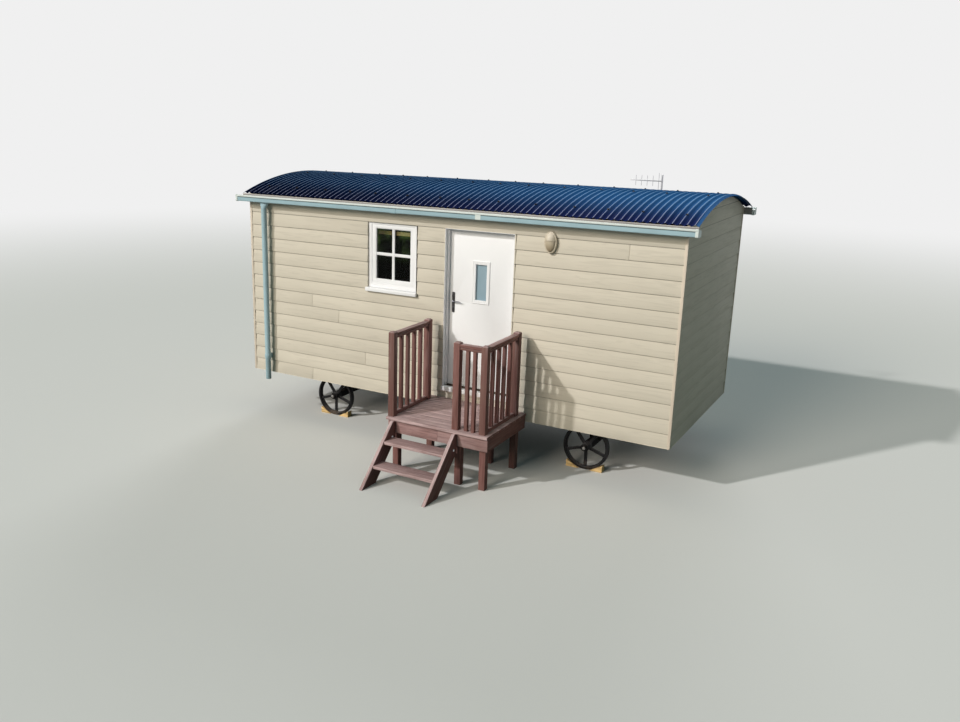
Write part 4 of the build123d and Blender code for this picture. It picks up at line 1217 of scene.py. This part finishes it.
class HUT_OT_running_gear(bpy.types.Operator):
    """Finish the chassis, the axles with their nuts, the spoked wheels and the timber chocks"""

    bl_idname = "hut.running_gear"
    bl_label = "Running gear"

    def execute(self, context):
        for node in ("chassis", "left_axle", "right_axle"):
            rounded_copy(node + "_painted", node, 0.003, [black_paint()])
        for node in ("front_left_wheel", "front_right_wheel", "rear_left_wheel", "rear_right_wheel"):
            rounded_copy(node + "_cast", node, 0.003, [cast_iron()], node)
        nuts = bmesh.new()
        for axle, wheel in (("left_axle", "front_left_wheel"), ("right_axle", "front_right_wheel")):
            low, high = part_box(axle)
            centre = sum(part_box(wheel), Vector()) / 2
            for y, outward in ((low.y, -1), (high.y, 1)):
                foot = Vector((centre.x, y, centre.z))
                for length, radius, sides in ((0.012, 0.021, 6), (0.020, 0.011, 16)):
                    add_rod(nuts, foot, foot + Vector((0, outward * length, 0)), radius, sides)
        round_edges(nuts, 0.0015)
        make_piece("axle_nuts", nuts, [bare_metal("worn_steel", 150, 148, 146, 0.42)])
        chocks = cad_copy("wheel_chocks")
        round_edges(chocks, 0.0025)
        mark_boards(chocks, "chocks", turn_grain=False)
        make_piece("pine_chocks", chocks, [bare_pine()], replaces=("wheel_chocks",))
        return {"FINISHED"}


class HUT_OT_aerial(bpy.types.Operator):
    """Finish the aerial with its boom and rods in bare metal"""

    bl_idname = "hut.aerial"
    bl_label = "Aerial"

    def execute(self, context):
        metal = bare_metal("aerial_metal", 196, 197, 200, 0.4)
        make_piece("aerial_tubes", cad_copy("aerial"), [metal], replaces=("aerial",), smooth=65)
        return {"FINISHED"}


# Platform


class HUT_OT_decking(bpy.types.Operator):
    """Lay the deck boards, with screws over the joists"""

    bl_idname = "hut.decking"
    bl_label = "Decking"

    def execute(self, context):
        boards, screws = bmesh.new(), bmesh.new()
        inset = 0.03
        joists = (DECK_LOW.x + inset, (DECK_LOW.x + DECK_HIGH.x) / 2, DECK_HIGH.x - inset)
        for low, high in solid_boxes("platform_deck"):
            add_box(boards, low, high)
            for x in joists:
                for y in (low.y + inset, high.y - inset):
                    add_dome(screws, (x, y, high.z - 0.0005), (0, 0, 1), 0.004, 0.001, 8)
        timber_piece("deck_boards", boards, "platform_deck", "deck", stains(0.8, 0.9), 3)
        make_piece("deck_screws", screws, [dark_fitting()])
        return {"FINISHED"}


class HUT_OT_platform_frame(bpy.types.Operator):
    """Frame the platform in rim boards and joists, and stand it on its legs"""

    bl_idname = "hut.platform_frame"
    bl_label = "Platform frame"

    def execute(self, context):
        low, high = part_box("platform_frame")
        thick, splice, joint, gap = 0.038, LEFT + 3.44, 0.001, 0.0005
        bm = bmesh.new()
        add_box(bm, low, (splice - joint, low.y + thick, high.z))
        add_box(bm, (splice + joint, low.y, low.z), (high.x, low.y + thick, high.z))
        add_box(bm, (low.x, high.y - thick, low.z), high)
        front, back = low.y + thick + gap, high.y - thick - gap
        for x in (low.x, (low.x + high.x) / 2 - thick / 2, high.x - thick):
            add_box(bm, (x, front, low.z), (x + thick, back, high.z))
        timber_piece("rim_boards", bm, "platform_frame", "frame", stains(0.55, 0.35))
        timber_piece("deck_legs", cad_copy("platform_legs"), "platform_legs", "legs", stains())
        return {"FINISHED"}


def add_railing(bm, node, axis, count, bottom_rail):
    """A grooved top rail over square balusters, along x (0) or y (1), and a rail on the deck if asked."""
    low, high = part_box(node)
    middle = (low + high) / 2

    def bar(width, span, bottom, top):
        corner_low, corner_high = Vector(low), Vector(high)
        corner_low[1 - axis] = middle[1 - axis] - width / 2
        corner_high[1 - axis] = middle[1 - axis] + width / 2
        corner_low[axis], corner_high[axis] = span
        corner_low.z, corner_high.z = bottom, top
        add_box(bm, corner_low, corner_high)

    span = (low[axis], high[axis])
    for width, upper, lower in RAIL_LAYERS:
        bar(width, span, high.z - lower, high.z - upper)
    foot = low.z + BOTTOM_RAIL if bottom_rail else low.z
    if bottom_rail:
        bar(BALUSTER, span, low.z, foot)
    pitch = (span[1] - span[0]) / (count + 1)
    for number in range(count):
        centre = span[0] + (number + 1) * pitch
        bar(BALUSTER, (centre - BALUSTER / 2, centre + BALUSTER / 2), foot, high.z - RAIL_LAYERS[-1][2])


class HUT_OT_railings(bpy.types.Operator):
    """Stand the posts and fill between them with rails and balusters"""

    bl_idname = "hut.railings"
    bl_label = "Railings"

    def execute(self, context):
        timber_piece("posts", cad_copy("railing_posts"), "railing_posts", "posts", stains())
        for node, axis, count, bottom_rail in (
            ("left_railing", 1, 4, True),
            ("right_railing", 1, 4, True),
            ("front_railing", 0, 2, False),
        ):
            bm = bmesh.new()
            add_railing(bm, node, axis, count, bottom_rail)
            timber_piece(node + "_panel", bm, node, node, stains())
        return {"FINISHED"}


class HUT_OT_stair(bpy.types.Operator):
    """Set the sloping stringers with their coach bolts, and the open treads between them"""

    bl_idname = "hut.stair"
    bl_label = "Stair"

    def execute(self, context):
        wood = [stain(1, math.radians(STAIR_SLOPE), 1.0, 0.9)]
        stringers = cad_copy("stair_stringers")
        timber_piece("stringers", stringers, "stair_stringers", "stringers", wood, turn_grain=False)
        bolts = bmesh.new()
        bolt_y, bolt_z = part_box("platform_frame")[0].y - 0.070, FOOT - 0.104
        for low, high in solid_boxes("stair_stringers"):
            for x, outward in ((low.x, -1), (high.x, 1)):
                foot = Vector((x, bolt_y, bolt_z))
                add_rod(bolts, foot, foot + Vector((outward * 0.003, 0, 0)), 0.016, 20)
                add_dome(bolts, foot + Vector((outward * 0.002, 0, 0)), (outward, 0, 0), 0.011, 0.007, 16)
        make_piece("coach_bolts", bolts, [bare_metal("galvanised", 226, 228, 232, 0.4)])
        treads = bmesh.new()
        for low, high in solid_boxes("stair_treads"):
            add_box(treads, low, high)
        timber_piece("treads", treads, "stair_treads", "treads", stains(0.55, 0.8), 3)
        return {"FINISHED"}


class HUT_OT_inside(bpy.types.Operator):
    """Line the inside of the hut"""

    bl_idname = "hut.inside"
    bl_label = "Inside"

    def execute(self, context):
        front = ("front_wall_left", "front_wall_right", "front_wall_over_door")
        for node in ("floor", *front, "rear_wall", "left_end_wall", "right_end_wall"):
            line_with_timber(node)
        return {"FINISHED"}


# Stage


class HUT_OT_stage(bpy.types.Operator):
    """Set the floor, the soft light and the camera at the photograph's viewing angle"""

    bl_idname = "hut.stage"
    bl_label = "Stage"

    def execute(self, context):
        self.make_floor(context.scene.hut_studio)
        self.make_light(context.scene.hut_studio)
        self.make_camera(context)
        context.scene.view_settings.view_transform = "Standard"
        return {"FINISHED"}

    def make_floor(self, studio):
        """A round floor that fades into the background and throws back a light of its own colour."""
        bm = bmesh.new()
        bmesh.ops.create_circle(bm, cap_ends=True, segments=96, radius=60.0)
        floor = add_mesh("studio_floor", bm)
        paper = Finish("studio_paper", roughness=0.9, specular=0.0)
        paper.done(paper.mix(seen_rays(paper.tree), studio.floor_bounce, studio.floor))
        spot = paper.node("TexCoord", {}, 3)
        distance = paper.node("VectorMath", {0: spot}, 1, operation="LENGTH")
        haze = paper.node("Emission", {"Color": studio.background, "Strength": 1.0})
        fade = paper.ease(distance, 9.0, 30.0)
        mixed = paper.node("MixShader", {0: fade, 1: paper.shader.outputs[0], 2: haze})
        feed(paper.tree, paper.tree.nodes["Material Output"].inputs["Surface"], mixed)
        floor.data.materials.append(paper.material)

    def make_light(self, studio):
        """Three soft lamps, each with its spread and its angles across and up, and an even light."""
        for name, energy, colour, spread, across, up in (
            ("soft_sun", studio.key, (255, 253, 250), 2, 32.8, 32.0),
            ("front_light", studio.front, (255, 244, 228), 24, 14, 24),
            ("back_light", studio.back, (255, 255, 255), 24, 166, 24),
        ):
            lamp = bpy.data.lights.new(name, "SUN")
            lamp.energy, lamp.color, lamp.angle = energy, srgb(*colour), math.radians(spread)
            across, up = math.radians(across), math.radians(up)
            level = math.cos(up)
            source = Vector((-math.sin(across) * level, -math.cos(across) * level, math.sin(up)))
            add_object(name, lamp).rotation_euler = source.to_track_quat("Z", "Y").to_euler()
        world = bpy.data.worlds.new("studio")
        bpy.context.scene.world = world
        world.use_nodes = True
        tree = world.node_tree
        light = tree.nodes["Background"]
        feed(tree, light.inputs["Color"], studio.fill)
        feed(tree, light.inputs["Strength"], studio.ambient)
        shown = add_node(tree, "Background", {"Color": studio.background})
        mixed = add_node(tree, "MixShader", {0: seen_rays(tree), 1: light.outputs[0], 2: shown})
        feed(tree, tree.nodes["World Output"].inputs["Surface"], mixed)

    def make_camera(self, context):
        """The photograph's camera, placed from the hut's lower left front corner."""
        focal_pixels, width, axis_x = 911.1, 960, 415.0
        lens = bpy.data.cameras.new("photo_camera")
        lens.sensor_width = 36.0
        lens.lens = focal_pixels * lens.sensor_width / width
        lens.shift_x = (width / 2 - axis_x) / width
        lens.clip_end = 400.0
        camera = add_object("photo_camera", lens)
        camera.location = Vector((LEFT, FRONT, FOOT)) + Vector((8.095, -9.226, 3.443))
        camera.rotation_euler = Euler([math.radians(angle) for angle in (74.671, -0.826, 31.170)], "XYZ")
        context.scene.camera = camera


STEPS = (
    HUT_OT_stage,
    HUT_OT_cladding,
    HUT_OT_trims,
    HUT_OT_roof,
    HUT_OT_rainwater,
    HUT_OT_window,
    HUT_OT_door,
    HUT_OT_door_furniture,
    HUT_OT_lamp,
    HUT_OT_running_gear,
    HUT_OT_aerial,
    HUT_OT_decking,
    HUT_OT_platform_frame,
    HUT_OT_railings,
    HUT_OT_stair,
    HUT_OT_inside,
)


class HUT_PT_panel(bpy.types.Panel):
    """Lists the hut's settings and the steps that build it"""

    bl_idname = "HUT_PT_panel"
    bl_label = "Shepherds Hut"
    bl_space_type = "VIEW_3D"
    bl_region_type = "UI"
    bl_category = "Hut"

    def draw(self, context):
        for group in (context.scene.hut_colours, context.scene.hut_sizes, context.scene.hut_studio):
            box = self.layout.box()
            for word in group.__annotations__:
                box.prop(group, word)
        for step in STEPS:
            self.layout.operator(step.bl_idname, text=step.bl_label)


GROUPS = {"hut_colours": HutColours, "hut_sizes": HutSizes, "hut_studio": HutStudio}


def register():
    """Register the settings, the steps and the panel."""
    for word, group in GROUPS.items():
        bpy.utils.register_class(group)
        setattr(bpy.types.Scene, word, bpy.props.PointerProperty(type=group))
    for step in (*STEPS, HUT_PT_panel):
        bpy.utils.register_class(step)


def unregister():
    """Take the panel, the steps and the settings out again."""
    for step in reversed((*STEPS, HUT_PT_panel)):
        bpy.utils.unregister_class(step)
    for word, group in GROUPS.items():
        delattr(bpy.types.Scene, word)
        bpy.utils.unregister_class(group)


def main():
    """Register the settings and steps, and build every piece in order."""
    register()
    for step in STEPS:
        group, word = step.bl_idname.split(".")
        getattr(getattr(bpy.ops, group), word)()


if __name__ == "__main__":
    main()
